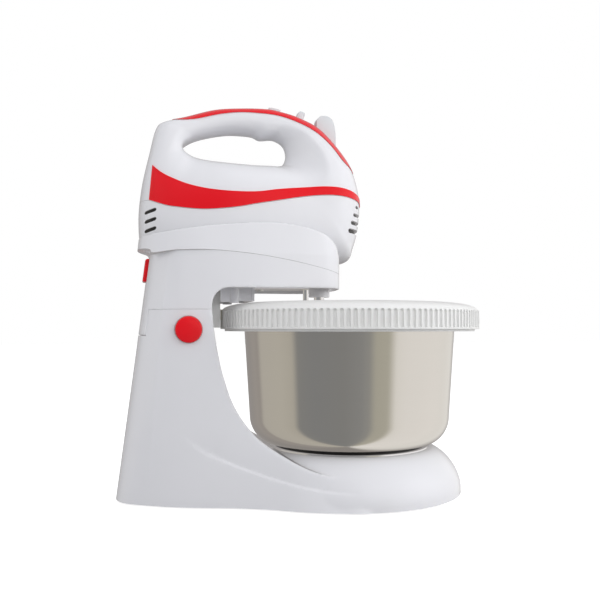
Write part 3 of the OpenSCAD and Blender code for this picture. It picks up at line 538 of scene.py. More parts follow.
def carve(piece, tool, operation="DIFFERENCE"):
    """Cuts a piece with a tool, joins them or keeps what they share; the tool is used up."""
    apply(piece, "BOOLEAN", object=tool, operation=operation, solver="EXACT")
    bpy.data.objects.remove(tool, do_unlink=True)
    return piece


def add(piece, tool):
    return carve(piece, tool, "UNION")


def keep(piece, tool):
    return carve(piece, tool, "INTERSECT")


def copy(piece, name):
    return link(name, piece.data.copy())


def moved(piece, turn, spot):
    """Turns a piece made at the bowl's axis and moves it to a spot, in millimetres."""
    home = Matrix.Translation(place((0, 0, 0))).inverted()
    piece.data.transform(Matrix.Translation(place(spot)) @ turn @ home)
    return piece


def soften(piece, voxel, rounds=6, share=0.6):
    """Rounds every edge of a solid by remeshing it finely and smoothing it."""
    apply(piece, "REMESH", mode="VOXEL", voxel_size=voxel * MM)
    apply(piece, "SMOOTH", factor=0.5, iterations=rounds)
    return apply(piece, "DECIMATE", ratio=share)


def round_edges(piece, width, segments=3, angle=35):
    return apply(
        piece,
        "BEVEL",
        width=width * MM,
        segments=segments,
        limit_method="ANGLE",
        angle_limit=math.radians(angle),
        harden_normals=False,
    )


def finish(piece, material, body, *nodes, angle=35):
    """Smooths the shading, gives the finish and hands the piece to its body."""
    choose(piece)
    bpy.ops.object.shade_smooth_by_angle(angle=math.radians(angle))
    piece.data.materials.clear()
    piece.data.materials.append(finishes[material])
    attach(piece, body)
    if nodes:
        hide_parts(*nodes)
    return piece


# ---- the hand mixer's skin ----

# Each station is [hole x, hole z, outside x, outside z, breadth, squareness, scoop] round the
# finger hole; breadth runs from 0 at the handle to 1 at the belly.
STATIONS = [
    (-101.7, 306, -95, 326.6, 0, 2.3, 0),
    (-86.5, 305.4, -77, 327.4, 0, 2.3, 0),
    (-79.5, 302.6, -66, 326.6, 0.01, 2.3, 0.04),
    (-67.8, 303.3, -46, 321.6, 0.04, 2.2, 0.16),
    (-59.4, 298.2, -25.2, 309.7, 0.26, 2.1, 0.42),
    (-56.8, 289.6, -1.9, 279.7, 0.62, 2.1, 0.5),
    (-59.5, 282, 5.9, 253.3, 0.81, 2.2, 0.4),
    (-66, 279.2, 5.2, 228, 0.89, 2.3, 0.18),
    (-72, 278.6, -0.2, 208, 0.92, 2.5, 0.05),
    (-76, 278.4, -7.2, 197.4, 0.94, 2.6, 0),
    (-87, 278.2, -36, 196.5, 0.98, 2.6, 0),
    (-100, 278.6, -80, 196.5, 1, 2.6, 0),
    (-114, 279.5, -122, 196.5, 0.97, 2.6, 0),
    (-126, 281.2, -158, 198, 0.85, 2.4, 0),
    (-136, 283.6, -177.5, 205.5, 0.69, 2.4, 0.04),
    (-142.5, 286.6, -181.3, 229, 0.54, 2.9, 0.1),
    (-145.2, 290.6, -178.8, 257, 0.4, 2.9, 0.14),
    (-143.8, 294.4, -172.6, 285, 0.29, 2.9, 0.16),
    (-138, 298, -167.7, 304.5, 0.19, 2.8, 0.12),
    (-132, 300.4, -161.7, 310.8, 0.12, 2.6, 0.05),
    (-124, 302.6, -144, 316, 0.05, 2.4, 0),
    (-113, 304.8, -119, 323.7, 0.01, 2.3, 0),
]
HANDLE_HALF_W = 17
MIXER_HALF_W = 48
SPINDLE_X = -33
SPINDLE_Y = 24


def spindle(side, z):
    """A point on a spindle's axis; side is -1 or 1."""
    return (SPINDLE_X, side * SPINDLE_Y, z)


def power(value, exponent):
    return math.copysign(abs(value) ** exponent, value)


def skin_point(station, angle, grow):
    """A point round the mixer's section at a station; the angle is 0 at the finger hole."""
    hole_x, hole_z, out_x, out_z, breadth, square, scoop = station
    hole, out = Vector((hole_x, hole_z)), Vector((out_x, out_z))
    way = (out - hole).normalized()
    half_w = mix(HANDLE_HALF_W, MIXER_HALF_W, breadth) + grow
    t = 0.5 - 0.5 * power(math.cos(angle), 2 / square)
    spot = (hole - way * grow) * (1 - t) + (out + way * grow) * t
    hollow = 1 - scoop * max(0, 1 - t / 0.46) ** 1.15
    return (spot.x, half_w * power(math.sin(angle), 2 / square) * hollow, spot.y)


def mixer_skin(name, grow, per=6, around=64):
    """The hand mixer's whole surface, grown outwards by grow."""
    turns = [2 * math.pi * i / around for i in range(around)]
    return loft(
        name, [[skin_point(s, a, grow) for a in turns] for s in smooth_loop(STATIONS, per)], closed=True
    )


# Upper and lower edges of the red sweep, rear to front.
SWEEP_TOP = [(-171, 271.2), (-164.9, 265.4), (-156.3, 260.3), (-139.5, 253.5), (-118.7, 249.9), (-92, 249.6)]
SWEEP_TOP += [(-72, 252.6), (-51.1, 255.1), (-34.7, 256.6), (-20.6, 256.6), (-8.9, 255), (0, 252.4)]
SWEEP_TOP += [(8, 248.6)]
SWEEP_LOW = [(-173.8, 242.4), (-164.6, 238.9), (-156.3, 236.8), (-139.8, 234.9), (-125.2, 234.8)]
SWEEP_LOW += [(-105.5, 237), (-90.6, 240), (-72.2, 243.4), (-51.7, 247.3), (-38, 249.1), (-23.2, 249.8)]
SWEEP_LOW += [(-11, 249), (0, 247.2), (8, 244.4)]
# Lower edge of the trim over the handle and down the front, rear to front.
TRIM_EDGE = [(-158, 318), (-153, 312.6), (-146, 311.6), (-133.5, 313.3), (-116.2, 318.1), (-99.3, 321.1)]
TRIM_EDGE += [(-82.9, 321.3), (-64.8, 320), (-49.2, 314.8), (-34.6, 305.6), (-23.8, 294.9), (-15, 282.1)]
TRIM_EDGE += [(-8, 277), (2, 273.5), (20, 270)]
SWEEP_TOP = smooth_open(SWEEP_TOP, 5)
SWEEP_LOW = smooth_open(SWEEP_LOW, 5)
TRIM_EDGE = smooth_open(TRIM_EDGE, 6)
SPLIT = [(-200, 243.5)] + SWEEP_LOW + [(30, 237)]
SEAM = 0.25


def capsule(x0, x1, z, height, tilt=0.0):
    """Outline of a slot with round ends."""
    r = height / 2
    outline = arc(x1 - r, 0, r, r, -90, 90, 8) + arc(x0 + r, 0, r, r, 90, 270, 8)
    return [(x, z + h + (x - x1) * tilt) for x, h in outline]


def vent_cuts(piece):
    """Three slots at the rear and four at the nose, on both sides."""
    for side in (-1, 1):
        near, far = sorted((side * 6, side * 60))
        for i in range(3):
            slot = prism("slot", capsule(-177, -168, 234.9 - 7.2 * i, 3, 0.3), near, far)
            carve(piece, slot)
        for i in range(4):
            front = capsule(-4 - 2.5 * i, 0 if i == 0 else 40, 242.6 - 6.8 * i, 2.5 + 0.42 * i)
            carve(piece, prism("slot", front, near, far))
    return piece


TURBO_CUT = ((-72.4, -4.9, 312), (-61.8, 4.9, 345))
EJECT_CUT = ((-30.4, -5.4, 284), (-12.6, 5.4, 350))
SLIDER_AT = (-45.3, 320.4)
SLIDER_SLOPE = math.radians(18)


def along_slope(x, z):
    """A point on the handle's slope, from its own (along, up) to (X, Z)."""
    c, s = math.cos(SLIDER_SLOPE), math.sin(SLIDER_SLOPE)
    return (SLIDER_AT[0] + x * c + z * s, SLIDER_AT[1] - x * s + z * c)


def control_cuts(piece):
    """Openings for the three controls on the handle."""
    carve(piece, block("turbo opening", *TURBO_CUT))
    carve(piece, block("eject opening", *EJECT_CUT))
    slot = [along_slope(x, z) for x, z in ((-15.8, -2.8), (3.8, -2.8), (3.8, 20), (-15.8, 20))]
    return carve(piece, prism("slider slot", slot, -3.4, 3.4))


class STANDMIXER_OT_hand_mixer(bpy.types.Operator):
    """Model the hand mixer's upper and lower housings with their vents and openings"""

    bl_idname = "stand_mixer.hand_mixer"
    bl_label = "Hand mixer housings"

    def execute(self, context):
        wall = sizes().shell_wall
        shell = carve(mixer_skin("shell", 0, 8, 96), mixer_skin("shell inside", -wall, 3, 32))
        above = prism("above", SPLIT + [(30, 350), (-200, 350)])
        upper = keep(copy(shell, "mixer_top_shell"), above)
        control_cuts(upper)
        low_side = [(x, z - SEAM) for x, z in SPLIT] + [(30, 180), (-200, 180)]
        lower = keep(shell, prism("below", low_side))
        lower.name = "mixer_belly_shell"
        vent_cuts(lower)
        for side in (-1, 1):
            carve(lower, rod("spindle hole", spindle(side, 190), spindle(side, 215), 8))
        finish(upper, "white_gloss", "mixer", "mixer_upper_housing")
        finish(lower, "white_gloss", "mixer", "mixer_lower_housing")
        # A near-black sheet just inside the housing behind the vents: painted shade, standing in for the
        # dark seen through the slots.
        shade_sheet = mixer_skin("vent_shade_sheet", -wall - 0.2, 3, 32)
        carve(shade_sheet, mixer_skin("inside", -wall - 1.2, 3, 32))
        ends = [(-200, 214), (-160, 214), (-160, 242), (-8, 242), (-8, 214), (30, 214), (30, 246)]
        ends += [(-200, 246)]
        keep(shade_sheet, prism("vent region", ends))
        finish(shade_sheet, "dark_plastic", "mixer")
        return {"FINISHED"}


class STANDMIXER_OT_trims(bpy.types.Operator):
    """Model the red trims on the handle's top and on both sides"""

    bl_idname = "stand_mixer.trims"
    bl_label = "Red trims"

    def execute(self, context):
        proud = carve(mixer_skin("proud", sizes().trim_proud), mixer_skin("under", 0))
        top = copy(proud, "handle_trim")
        keep(top, prism("crown", TRIM_EDGE + [(30, 350), (-158, 350)]))
        control_cuts(top)
        finish(top, "red_gloss", "mixer", "top_trim")
        lower_edge = [(x, z + 0.2) for x, z in SWEEP_LOW]
        sweep = SWEEP_TOP + lower_edge[::-1]
        right = keep(copy(proud, "side_sweep_right"), prism("sweep", sweep, 4, 60))
        left = keep(proud, prism("sweep", sweep, -60, -4))
        left.name = "side_sweep_left"
        finish(right, "red_gloss", "mixer", "side_trim_right")
        finish(left, "red_gloss", "mixer", "side_trim_left")
        return {"FINISHED"}


# ---- the base, arm and cradle ----

BASE_BACK = 199.5
COLUMN_TOP = 156
COLUMN_HALF_W = 53
FOOT_R = 97
FOOT_TOP = 39
ARM_FRONT = 15
ARM_BOTTOM = 173
ARCH_X = -112.5
ARCH_R = 13
SKIRT_Z = 1.2
BASE_WALL = 3
ARM_WALL = 2.5
DECK_WALL = 3
TONGUE_HALF_W = 24
TONGUE_Z = 135.2
RING_R = 112.5
# Distance from the bowl's axis to the pinion's, as a share of the ring's breadth.
RING_GAP_SHARE = 75 / 141.2
WELL_Z = FOOT_TOP - 6
TILT_AT = (-143.7, -(COLUMN_HALF_W - 7.2), 140)
TILT_R = 10.5

# Upper edge of the base: the column's front, sweeping down into the foot.
FRONT_SWEEP = [(-125.5, 170), (-125.3, 156), (-124, 140), (-119.5, 114), (-114.9, 96.5), (-109.3, 81)]
FRONT_SWEEP += [(-100.1, 65.5), (-87.7, 52), (-70, 40), (-53.6, 31.6), (-33.8, 26), (-6, 21), (22, 17)]
# The seam between arm and cradle, front to rear, and the cradle's upper edge, rear to front.
ARM_SEAM = [(-10, 183.5), (-23.6, 186.3), (-60, 194.3), (-91, 199.4), (-123.8, 202.4), (-148.4, 202.4)]
ARM_SEAM += [(-158, 201.9), (-166, 200.9), (-171.5, 201), (-174.5, 203.9), (-190, 205.9)]
CRADLE_EDGE = [(-190, 213.6), (-178.6, 215.2), (-160.6, 217.5), (-123.8, 222.5), (-85.8, 225.4)]
CRADLE_EDGE += [(-66.5, 224.8), (-46.8, 221.5), (-32.6, 216.2), (-23.3, 208.8), (-19.6, 199.8), (-18, 190)]
FRONT_SWEEP = smooth_open(FRONT_SWEEP, 6)
ARM_SEAM = smooth_open(ARM_SEAM, 6)
CRADLE_EDGE = smooth_open(CRADLE_EDGE, 6)
# The crease round the foot, as (X, Z), rear to front.
FOOT_CREASE = [(-149.5, 57), (-131.6, 44), (-104, 32), (-76, 23), (-47.6, 17), (-18, 14.6)]


def body_half(z, inset):
    """Half of the column's outline at a height, rear to front; it spreads into the foot."""
    f = max(1 - z / COLUMN_TOP, 0) ** 1.6
    rear = 0.134 * z - BASE_BACK
    crease = 24 - BASE_BACK + 0.052 * z + 0.00016 * z * z
    crease_y = 36 - 3 * f
    w = COLUMN_HALF_W
    return [
        (rear + inset, 0),
        (rear + 0.06 * (crease - rear) + inset, 0.35 * crease_y),
        (rear + 0.33 * (crease - rear) + inset, 0.68 * crease_y),
        (crease + 0.4 * inset, crease_y - 0.9 * inset),
        (mix(-151, -157, f), mix(w - 11, 42.5, f) - inset),
        (-138, mix(w - 7.5, 49.3, f) - inset),
        (mix(-118, -120, f), mix(w - 3.7, 54.5, f) - inset),
        (mix(-96, -102, f), mix(w - 1.5, 60.2, f) - inset),
        (-80, mix(w - 0.5, 70.5, f) - inset),
        (mix(-62, -59, f), mix(w, 83, f) - inset),
        (mix(-45, -33.6, f), mix(w - 0.5, 92.5, f) - inset),
        (mix(-30, -8, f) - 0.5 * inset, mix(w - 4, 96, f) - inset),
        (mix(-ARM_FRONT - 5, 20, f) - inset, mix(w - 14, 60, f) - 0.6 * inset),
        (mix(-ARM_FRONT - 1, 26, f) - inset, mix(20, 30, f)),
        (mix(-ARM_FRONT, 28, f) - inset, 0),
    ]


def both_sides(half):
    return half + [(x, -y) for x, y in half[-2:0:-1]]


def body_outline(z, inset, steps=5):
    """The column's whole outline, smooth but for the upright crease on each side of its rear."""
    half = body_half(z, inset)
    rear = [(x, -y) for x, y in half[3:0:-1]] + half[:4]
    flank = half[3:] + [(x, -y) for x, y in half[-2:2:-1]]
    return smooth_open(rear, steps)[:-1] + smooth_open(flank, steps)[:-1]


def body_solid(name, z0, z1, inset, gap=3, steps=5):
    count = max(1, round((z1 - z0) / gap))
    levels = [mix(z0, z1, i / count) for i in range(count + 1)]
    return loft(name, [[(x, y, z) for x, y in body_outline(z, inset, steps)] for z in levels])


def foot_profile(inset, low):
    """Radius and height down the round foot, from its axis."""
    made = [(0, low), (0, FOOT_TOP - inset)]
    for i in range(19):
        a = math.radians(90 - 5 * i)
        reach = FOOT_R - 27 + (27 - inset) * math.cos(a) ** 1.21
        made.append((reach, 6 + (FOOT_TOP - 6 - inset) * math.sin(a) ** 1.21))
    return made + [(FOOT_R - inset, low), (0, low)]


def well(radius, low):
    """Profile of the room that the turntable sits in."""
    return [(0, low), (0, 60), (radius, 60), (radius, low), (0, low)]


def column(name, inset, z0, z1, gap=3, steps=5):
    under = [(x - inset, z - inset) for x, z in FRONT_SWEEP]
    under += [(22, z0 - 1), (-215, z0 - 1), (-215, 170 - inset)]
    return keep(body_solid(name, z0, z1, inset, gap, steps), prism("under sweep", under, -125, 125))


def push_in(piece, line, depth, reach):
    """Draws a surface in just above a line given as (X, Z), with a soft fade over its reach."""
    line = smooth_open(line, 8)
    mesh = piece.data
    mesh.update()
    normals = [v.normal.copy() for v in mesh.vertices]
    for v, normal in zip(mesh.vertices, normals):
        x, z = v.co.x / MM - BOWL_X, v.co.z / MM
        if not (line[0][0] < x < line[-1][0]) or abs(normal.z) > 0.8:
            continue
        for (x0, z0), (x1, z1) in zip(line, line[1:]):
            if x0 <= x < x1:
                above = z - mix(z0, z1, (x - x0) / (x1 - x0))
                ends = min(1, (x - line[0][0]) / 25, (line[-1][0] - x) / 25)
                v.co -= normal * depth * ends * fade((above + 1) / 2) * max(0, 1 - above / reach) ** 2 * MM
                break
    mesh.update()


class STANDMIXER_OT_base(bpy.types.Operator):
    """Model the base: round foot and column, with its well, button recess and openings"""

    bl_idname = "stand_mixer.base"
    bl_label = "Base"

    def execute(self, context):
        base = column("base_body", 0, -3, COLUMN_TOP + 5)
        add(base, lathe("foot", foot_profile(0, -3), 160))
        soften(base, sizes().edge_round, 8, 0.5)
        push_in(base, FOOT_CREASE, 1.5, 26)
        carve(base, block("floor cut", (-260, -150, -20), (150, 150, SKIRT_Z)))
        carve(base, block("top cut", (-260, -150, COLUMN_TOP - SEAM / 2), (0, 150, COLUMN_TOP + 20)))
        hollow = column("hollow", BASE_WALL, 0, COLUMN_TOP + 4, 12, 3)
        add(hollow, lathe("foot hollow", foot_profile(BASE_WALL, 0), 64))
        carve(hollow, lathe("well wall", well(73, WELL_Z - 3), 96))
        x, y, z = TILT_AT
        carve(hollow, rod("cup", (x, y - 10, z), (x, y + 10, z), TILT_R + BASE_WALL))
        carve(base, hollow)
        carve(base, lathe("well", well(69.8, WELL_Z), 128))
        carve(base, rod("recess", (x, -70, z), (x, y + 7, z), TILT_R + 0.4, 64))
        carve(base, rod("lip", (x, -70, z), (x, y - 1.6, z), TILT_R + 1.6, 64))
        side = TONGUE_HALF_W + 0.6
        carve(base, block("tongue room", (-205, -side, TONGUE_Z - 0.3), (-170, side, 176)))
        pinion_x = -RING_R * 2 * RING_GAP_SHARE
        carve(base, rod("pinion room", (pinion_x, 0, 139), (pinion_x, 0, 162), 12.9))
        carve(base, block("pinion room front", (pinion_x, -12.9, 139), (pinion_x + 20, 12.9, 169)))
        finish(base, "white_gloss", "base", "base_shell")
        return {"FINISHED"}


def arch(up, radius, low):
    """Lower outline of the arm in front of the column, its corner raised and widened."""
    made = [(ARCH_X - radius, low)]
    made += arc(ARCH_X, ARM_BOTTOM + up - radius, radius, radius, 180, 90, 12)
    return made + [(-5, ARM_BOTTOM + up)]


class STANDMIXER_OT_arm(bpy.types.Operator):
    """Model the arm: its flanks, the arch over the column's front, and the tongue at its rear"""

    bl_idname = "stand_mixer.arm"
    bl_label = "Arm"

    def execute(self, context):
        arm = body_solid("arm_body", COLUMN_TOP - 8, 214, 0)
        side = [(-215, COLUMN_TOP - 5)] + arch(0, ARCH_R, COLUMN_TOP - 5)
        side += [(x, z + 4) for x, z in ARM_SEAM]
        keep(arm, prism("arm side", side))
        tongue = body_solid("tongue", TONGUE_Z, COLUMN_TOP + 3, 0)
        side = block("tongue side", (-205, -TONGUE_HALF_W, TONGUE_Z), (-165, TONGUE_HALF_W, 165.5))
        add(arm, keep(tongue, side))
        soften(arm, 0.9, 3, 0.6)
        half = TONGUE_HALF_W
        for back, y0, y1 in ((-215, -80, -half), (-215, half, 80), (-170, -half, half)):
            carve(arm, block("column seam", (back, y0, 120), (-90, y1, COLUMN_TOP + SEAM / 2)))
        carve(arm, prism("above seam", ARM_SEAM + [(-215, 230), (0, 230)]))
        hollow = body_solid("hollow", COLUMN_TOP - 24, 220, ARM_WALL, 12, 3)
        deck = ARM_BOTTOM + DECK_WALL
        above = [(-215, 130)] + arch(5.5, ARCH_R + 5.5, 130) + [(-5, 225), (-215, 225)]
        below = [(-5, 150)] + arch(DECK_WALL, ARCH_R + DECK_WALL, 150)
        carve(arm, keep(copy(hollow, "upper room"), prism("above deck", above)))
        carve(arm, keep(hollow, prism("below deck", below)))
        carve(arm, block("release opening", (-205, -9.4, 178.6), (-168, 9.4, 198.4)))
        low = ARM_BOTTOM - 9.7
        for y in (-22, 22):
            add(arm, rod("boss", (-104.6, y, low - 1.4), (-104.6, y, deck + 1), 4))
            add(arm, block("rear rib", (-116, y - 1.2, low - 0.8), (-105, y + 1.2, deck + 1)))
            add(arm, block("rib", (-104.6, y - 1.2, low), (-89.6, y + 1.2, deck + 1)))
        add(arm, block("web", (-90.5, -24, low), (-88.1, 24, deck + 1)))
        add(arm, rod("near boss", spindle(-1, ARM_BOTTOM - 6), spindle(-1, deck + 1), 8.7))
        for side, bore in ((-1, 4.4), (1, 5)):
            carve(arm, rod("shaft bore", spindle(side, ARM_BOTTOM - 9), spindle(side, 192), bore))
        finish(arm, "white_gloss", "arm", "arm_shell")
        return {"FINISHED"}


def cradle_outline(inset, steps=5):
    """The cradle's outline seen from above, rear first."""
    w = COLUMN_HALF_W
    half = [
        (-182.8 + inset, 0),
        (-181.5 + inset, 16),
        (-177 + inset, 26),
        (-168 + 0.7 * inset, w - 17.5 - 0.7 * inset),
        (-154, w - 10 - inset),
        (-138, w - 5.5 - inset),
        (-118, w - 3 - inset),
        (-96, w - 1.2 - inset),
        (-62, w - inset),
        (-45, w - 0.5 - inset),
        (-30 - 0.5 * inset, w - 4 - inset),
        (-ARM_FRONT - 5 - inset, w - 14 - 0.6 * inset),
        (-ARM_FRONT - 1 - inset, 20),
        (-ARM_FRONT - inset, 0),
    ]
    return smooth_loop(both_sides(half), steps)


class STANDMIXER_OT_cradle(bpy.types.Operator):
    """Model the cradle on the arm that the hand mixer lies in"""

    bl_idname = "stand_mixer.cradle"
    bl_label = "Cradle"

    def execute(self, context):
        rings = []
        for z in (180, 190, 200, 204, 208, 212, 216, 220, 224, 228, 232):
            grow = 3.2 * max(0, z - 200) / 28
            rings.append([(x, y, z) for x, y in cradle_outline(grow)])
        cradle = loft("cradle_body", rings)
        below_seam = [(x, z - 4) for x, z in ARM_SEAM]
        keep(cradle, prism("cradle side", below_seam + CRADLE_EDGE))
        soften(cradle, 0.8, 2, 0.6)
        seam = [(x, z + SEAM) for x, z in ARM_SEAM] + [(-215, 160), (0, 160)]
        carve(cradle, prism("arm seam", seam))
        carve(cradle, mixer_skin("mixer room", 0.5, 4, 48))
        inner = loft("inner", [[(x, y, z) for x, y in cradle_outline(ARM_WALL)] for z in (170, 240)])
        room = [(-172, 165), (-5, 165), (-5, 193.2), (-160, 193.2), (-172, 198.2)]
        carve(cradle, keep(inner, prism("room under floor", room)))
        for side in (-1, 1):
            carve(cradle, rod("shaft hole", spindle(side, 180), spindle(side, 206), 8))
        carve(cradle, block("latch opening", (-170.5, -6.5, 185), (-160.5, 6.5, 210)))
        finish(cradle, "white_gloss", "arm", "arm_cover")
        return {"FINISHED"}


# ---- the ring, bowl and turntable ----


def fade(x):
    """A soft step from 0 to 1."""
    x = min(1, max(0, x))
    return x * x * (3 - 2 * x)


class STANDMIXER_OT_splash_ring(bpy.types.Operator):
    """Model the splash ring that sits on the bowl's rim, with its drive ribs"""

    bl_idname = "stand_mixer.splash_ring"
    bl_label = "Splash ring"

    def execute(self, context):
        z0, z1, top, mouth, tip = 140.3, 157, 162.8, 80, RING_R
        shoulder = arc(mouth + 3, z1 - 1, tip - mouth - 4.4, top - z1 + 1, 12, 90, 9)
        # Each level is (radius, height, depth of the grooves).
        levels = [(tip - 6, z0 - 1.8, 0), (tip - 4, z0 - 1.8, 0), (tip - 3.8, z0 - 1.6, 0)]
        levels += [(tip - 3.8, z0 - 0.1, 0), (tip - 0.5, z0, 0), (tip - 0.1, z0 + 0.15, 0)]
        levels += [(tip, z0 + 0.5, 0), (tip, z0 + 1.3, 0), (tip, z0 + 1.5, 0.9), (tip, z0 + 1.8, 1)]
        levels += [(tip, mix(z0 + 1.8, z1 - 4.6, i / 3), 1) for i in range(1, 4)]
        levels += [(tip - 0.02, z1 - 4.6 + 0.35 * i, 1) for i in range(1, 8)]
        levels += [(tip - 0.1, z1 - 1.7, 1), (tip - 0.35, z1 - 1.1, 1), (tip - 0.8, z1 - 0.6, 1)]
        levels += [(tip - 1.4, z1 - 0.3, 0)]
        levels += [(r, z, 0) for r, z in shoulder]
        levels += [(mouth + 1, top - 0.05, 0), (mouth + 0.3, top - 0.4, 0), (mouth, top - 1, 0)]
        levels += [(mouth, top - 1.9, 0), (mouth + 0.4, top - 2.2, 0)]
        levels += [(r - 2, z - 2.2, 0) for r, z in shoulder[::-1] if r > 98.7]
        levels += [(tip - 6.2, z1 - 4, 0), (tip - 6.3, z0, 0)]
        teeth = sizes().ring_teeth
        # One tooth and the groove after it, as (turn, share of the groove's depth).
        shape = [(-0.17, 0), (-0.1, 0), (0.1, 0), (0.17, 0), (0.21, 0.75), (0.27, 1), (0.5, 1), (0.73, 1)]
        shape += [(0.79, 0.75)]
        rings = []
        for radius, z, depth in levels:
            ring = []
            for tooth, (turn, share) in itertools.product(range(teeth), shape):
                crown = z1 - 1.1 - 1.5 * (2 * abs(turn - 0.5) / 0.66) ** 2
                r = radius - depth * share * 1.7 * fade((crown - z) / 0.9)
                a = 2 * math.pi * (tooth + turn) / teeth
                ring.append((r * math.cos(a), r * math.sin(a), z))
            rings.append(ring)
        piece = loft("splash_ring", rings, closed=True)
        rim = [(94.7, 151.5), (94.7, 160.4), (90.7, 160.7), (90.7, 151.5), (94.7, 151.5)]
        skirt = [(96.7, 147), (96.7, 160.2), (94.7, 160.2), (94.7, 147), (96.7, 147)]
        add(piece, lathe("rim rib", rim, 96))
        add(piece, lathe("skirt", skirt, 96))
        finish(piece, "ring_white", "bowl", "bowl_ring", angle=50)
        return {"FINISHED"}


BOWL_R = 91.7
BOWL_LOW_R = 87
BOWL_FLOOR = 41


def bowl_side(inset):
    """The bowl's outside, or its inside when inset by its wall, from its axis to its rim."""
    bend = BOWL_FLOOR + 24
    side = [(0.01, BOWL_FLOOR + inset)]
    side += arc(BOWL_LOW_R - 23, bend, 23 - inset, 24 - inset, -90, 0, 20)
    side += [(mix(BOWL_LOW_R, BOWL_R, i / 5) - inset, mix(bend, 141, i / 5)) for i in range(1, 6)]
    return side + [(BOWL_R - inset, 150)]


class STANDMIXER_OT_bowl(bpy.types.Operator):
    """Model the steel bowl with its rolled rim, and the turntable under it"""

    bl_idname = "stand_mixer.bowl"
    bl_label = "Bowl and turntable"

    def execute(self, context):
        curl = arc(BOWL_R + 0.9, 150, 1.5, 1.5, 180, -150, 16)
        profile = bowl_side(0)[:-1] + curl[::-1] + bowl_side(0.9)[::-1]
        bowl = lathe("steel_bowl", profile, 160)
        finish(bowl, "bowl_steel", "bowl", "bowl")
        rubber_top = [(0.01, WELL_Z + 0.6), (66, WELL_Z + 0.6), (66, WELL_Z + 3.2), (60.6, WELL_Z + 3.2)]
        rubber_top += [(60, WELL_Z + 3.6), (60, 40.6)]
        rubber_top += [(59.6, BOWL_FLOOR), (0.01, BOWL_FLOOR)]
        finish(lathe("turntable_pad", rubber_top, 128), "dark_plastic", "bowl", "turntable")
        return {"FINISHED"}


# ---- controls and beaters ----


def pull(piece, material, body, *nodes, width=0.6, angle=35):
    """A small moulded piece with its edges rounded."""
    round_edges(piece, width, 3, angle)
    return finish(piece, material, body, *nodes)


class STANDMIXER_OT_controls(bpy.types.Operator):
    """Model the three controls on the handle and the two red buttons"""

    bl_idname = "stand_mixer.controls"
    bl_label = "Controls"

    def execute(self, context):
        turbo = keep(mixer_skin("turbo_key", 3), block("turbo side", (-72, -4.5, 319.3), (-62.2, 4.5, 340)))
        pull(turbo, "control_white", "turbo_button", "turbo_button", width=0.7)
        stem = [along_slope(x, z) for x, z in ((-3.2, -5.4), (3.2, -5.4), (3.2, 7.6), (2, 9), (-1.4, 9))]
        stem += [along_slope(-3.2, 6.8)]
        slider = prism("speed_tab", stem, -3, 3)
        pull(slider, "control_white", "speed_slider", "speed_slider", width=0.8)
        hump = [(-30, 290), (-30, 319)]
        hump += smooth_open([(-30, 319), (-29.6, 322), (-27.6, 324.8), (-24, 325.8), (-20, 325.4)], 5)
        hump += smooth_open([(-20, 325.4), (-16.6, 323), (-14.4, 318.4), (-13.4, 313), (-13, 307)], 5)
        eject = prism("eject_key", hump + [(-13, 290)], -5, 5)
        add(eject, rod("stem", (-24, 0, 258), (-24, 0, 292), 2.5))
        add(eject, block("yoke", (-37, -28, 258), (-20, 28, 260)))
        for side in (-1, 1):
            add(eject, rod("pusher", spindle(side, 230.6), spindle(side, 259), 2.2))
        round_edges(eject, 0.9, 3, 50)
        finish(eject, "control_white", "eject_button", "eject_button")
        dome = [(0, 0), (TILT_R, 0), (TILT_R, 1.9), (9.9, 2.8), (8.6, 3.3), (4, 3.75), (0, 3.9), (0, 0)]
        x, y, z = TILT_AT
        sideways = Matrix.Rotation(math.pi / 2, 4, "X")
        cap = moved(lathe("tilt_button_cap", dome, 96), sideways, (x, y + 0.8, z))
        add(cap, rod("stem", (x, y, z), (x, y + 15, z), 5))
        add(cap, block("plate", (x - 3.5, y + 15, z - 3.5), (x + 3.5, y + 16, z + 12.5)))
        add(cap, block("nose", (x - 2.5, y + 14, z + 8.6), (x + 2.5, y + 15.5, z + 10.6)))
        finish(cap, "red_gloss", "tilt_button", "tilt_button")
        red = body_solid("release_key", 170, 205, -2.9)
        keep(red, block("release side", (-200, -9, 179), (-165, 9, 198)))
        round_edges(red, 1.6, 4, 50)
        add(red, rod("stem", (-168, 0, 188.5), (-154, 0, 188.5), 3))
        add(red, block("latch", (-168, -5, 196), (-165, 5, 204)))
        add(red, block("latch tooth", (-168.9, -5, 203), (-165, 5, 205)))
        finish(red, "red_gloss", "release_button", "release_button")
        return {"FINISHED"}


class STANDMIXER_OT_beaters(bpy.types.Operator):
    """Model the two wire beaters"""

    bl_idname = "stand_mixer.beaters"
    bl_label = "Beaters"

    def execute(self, context):
        for side, name in ((-1, "left"), (1, "right")):
            x, y, _ = spindle(side, 0)
            whole = rod(f"wire_beater_{name}", (x, y, 122), (x, y, 224), 2.5)
            loop = arc(0, 74, 21, 24, -180, 0, 24) + arc(0, 104, 21, 24, 0, 180, 24)
            hole = arc(0, 74, 19.5, 22.5, -180, 0, 24) + arc(0, 104, 19.5, 22.5, 0, 180, 24)
            for k in (0, 1):
                strip = carve(prism("strip", loop, -2, 2), prism("strip inside", hole, -3, 3))
                round_edges(strip, 0.45, 2, 50)
                turn = Matrix.Rotation(math.radians(45 + 90 * k), 4, "Z")
                add(whole, moved(strip, turn, (x, y, 0)))
            add(whole, rod("foot", (x, y, 50), (x, y, 53), 3.5))
            add(whole, rod("head", (x, y, 122), (x, y, 128), 4))
            finish(whole, "bright_metal", f"beater_{name}", f"beater_{name}")
        return {"FINISHED"}


# ---- the stage ----


def look_from(location, heading, lens, shift):
    data = bpy.data.cameras.new("camera")
    camera = link("camera", data)
    camera.location = location
    camera.rotation_euler = (math.radians(90), 0, math.radians(heading))
    data.lens = lens
    data.sensor_width = 36
    data.shift_y = shift
    data.clip_start = 0.01
    bpy.context.scene.camera = camera
    return camera


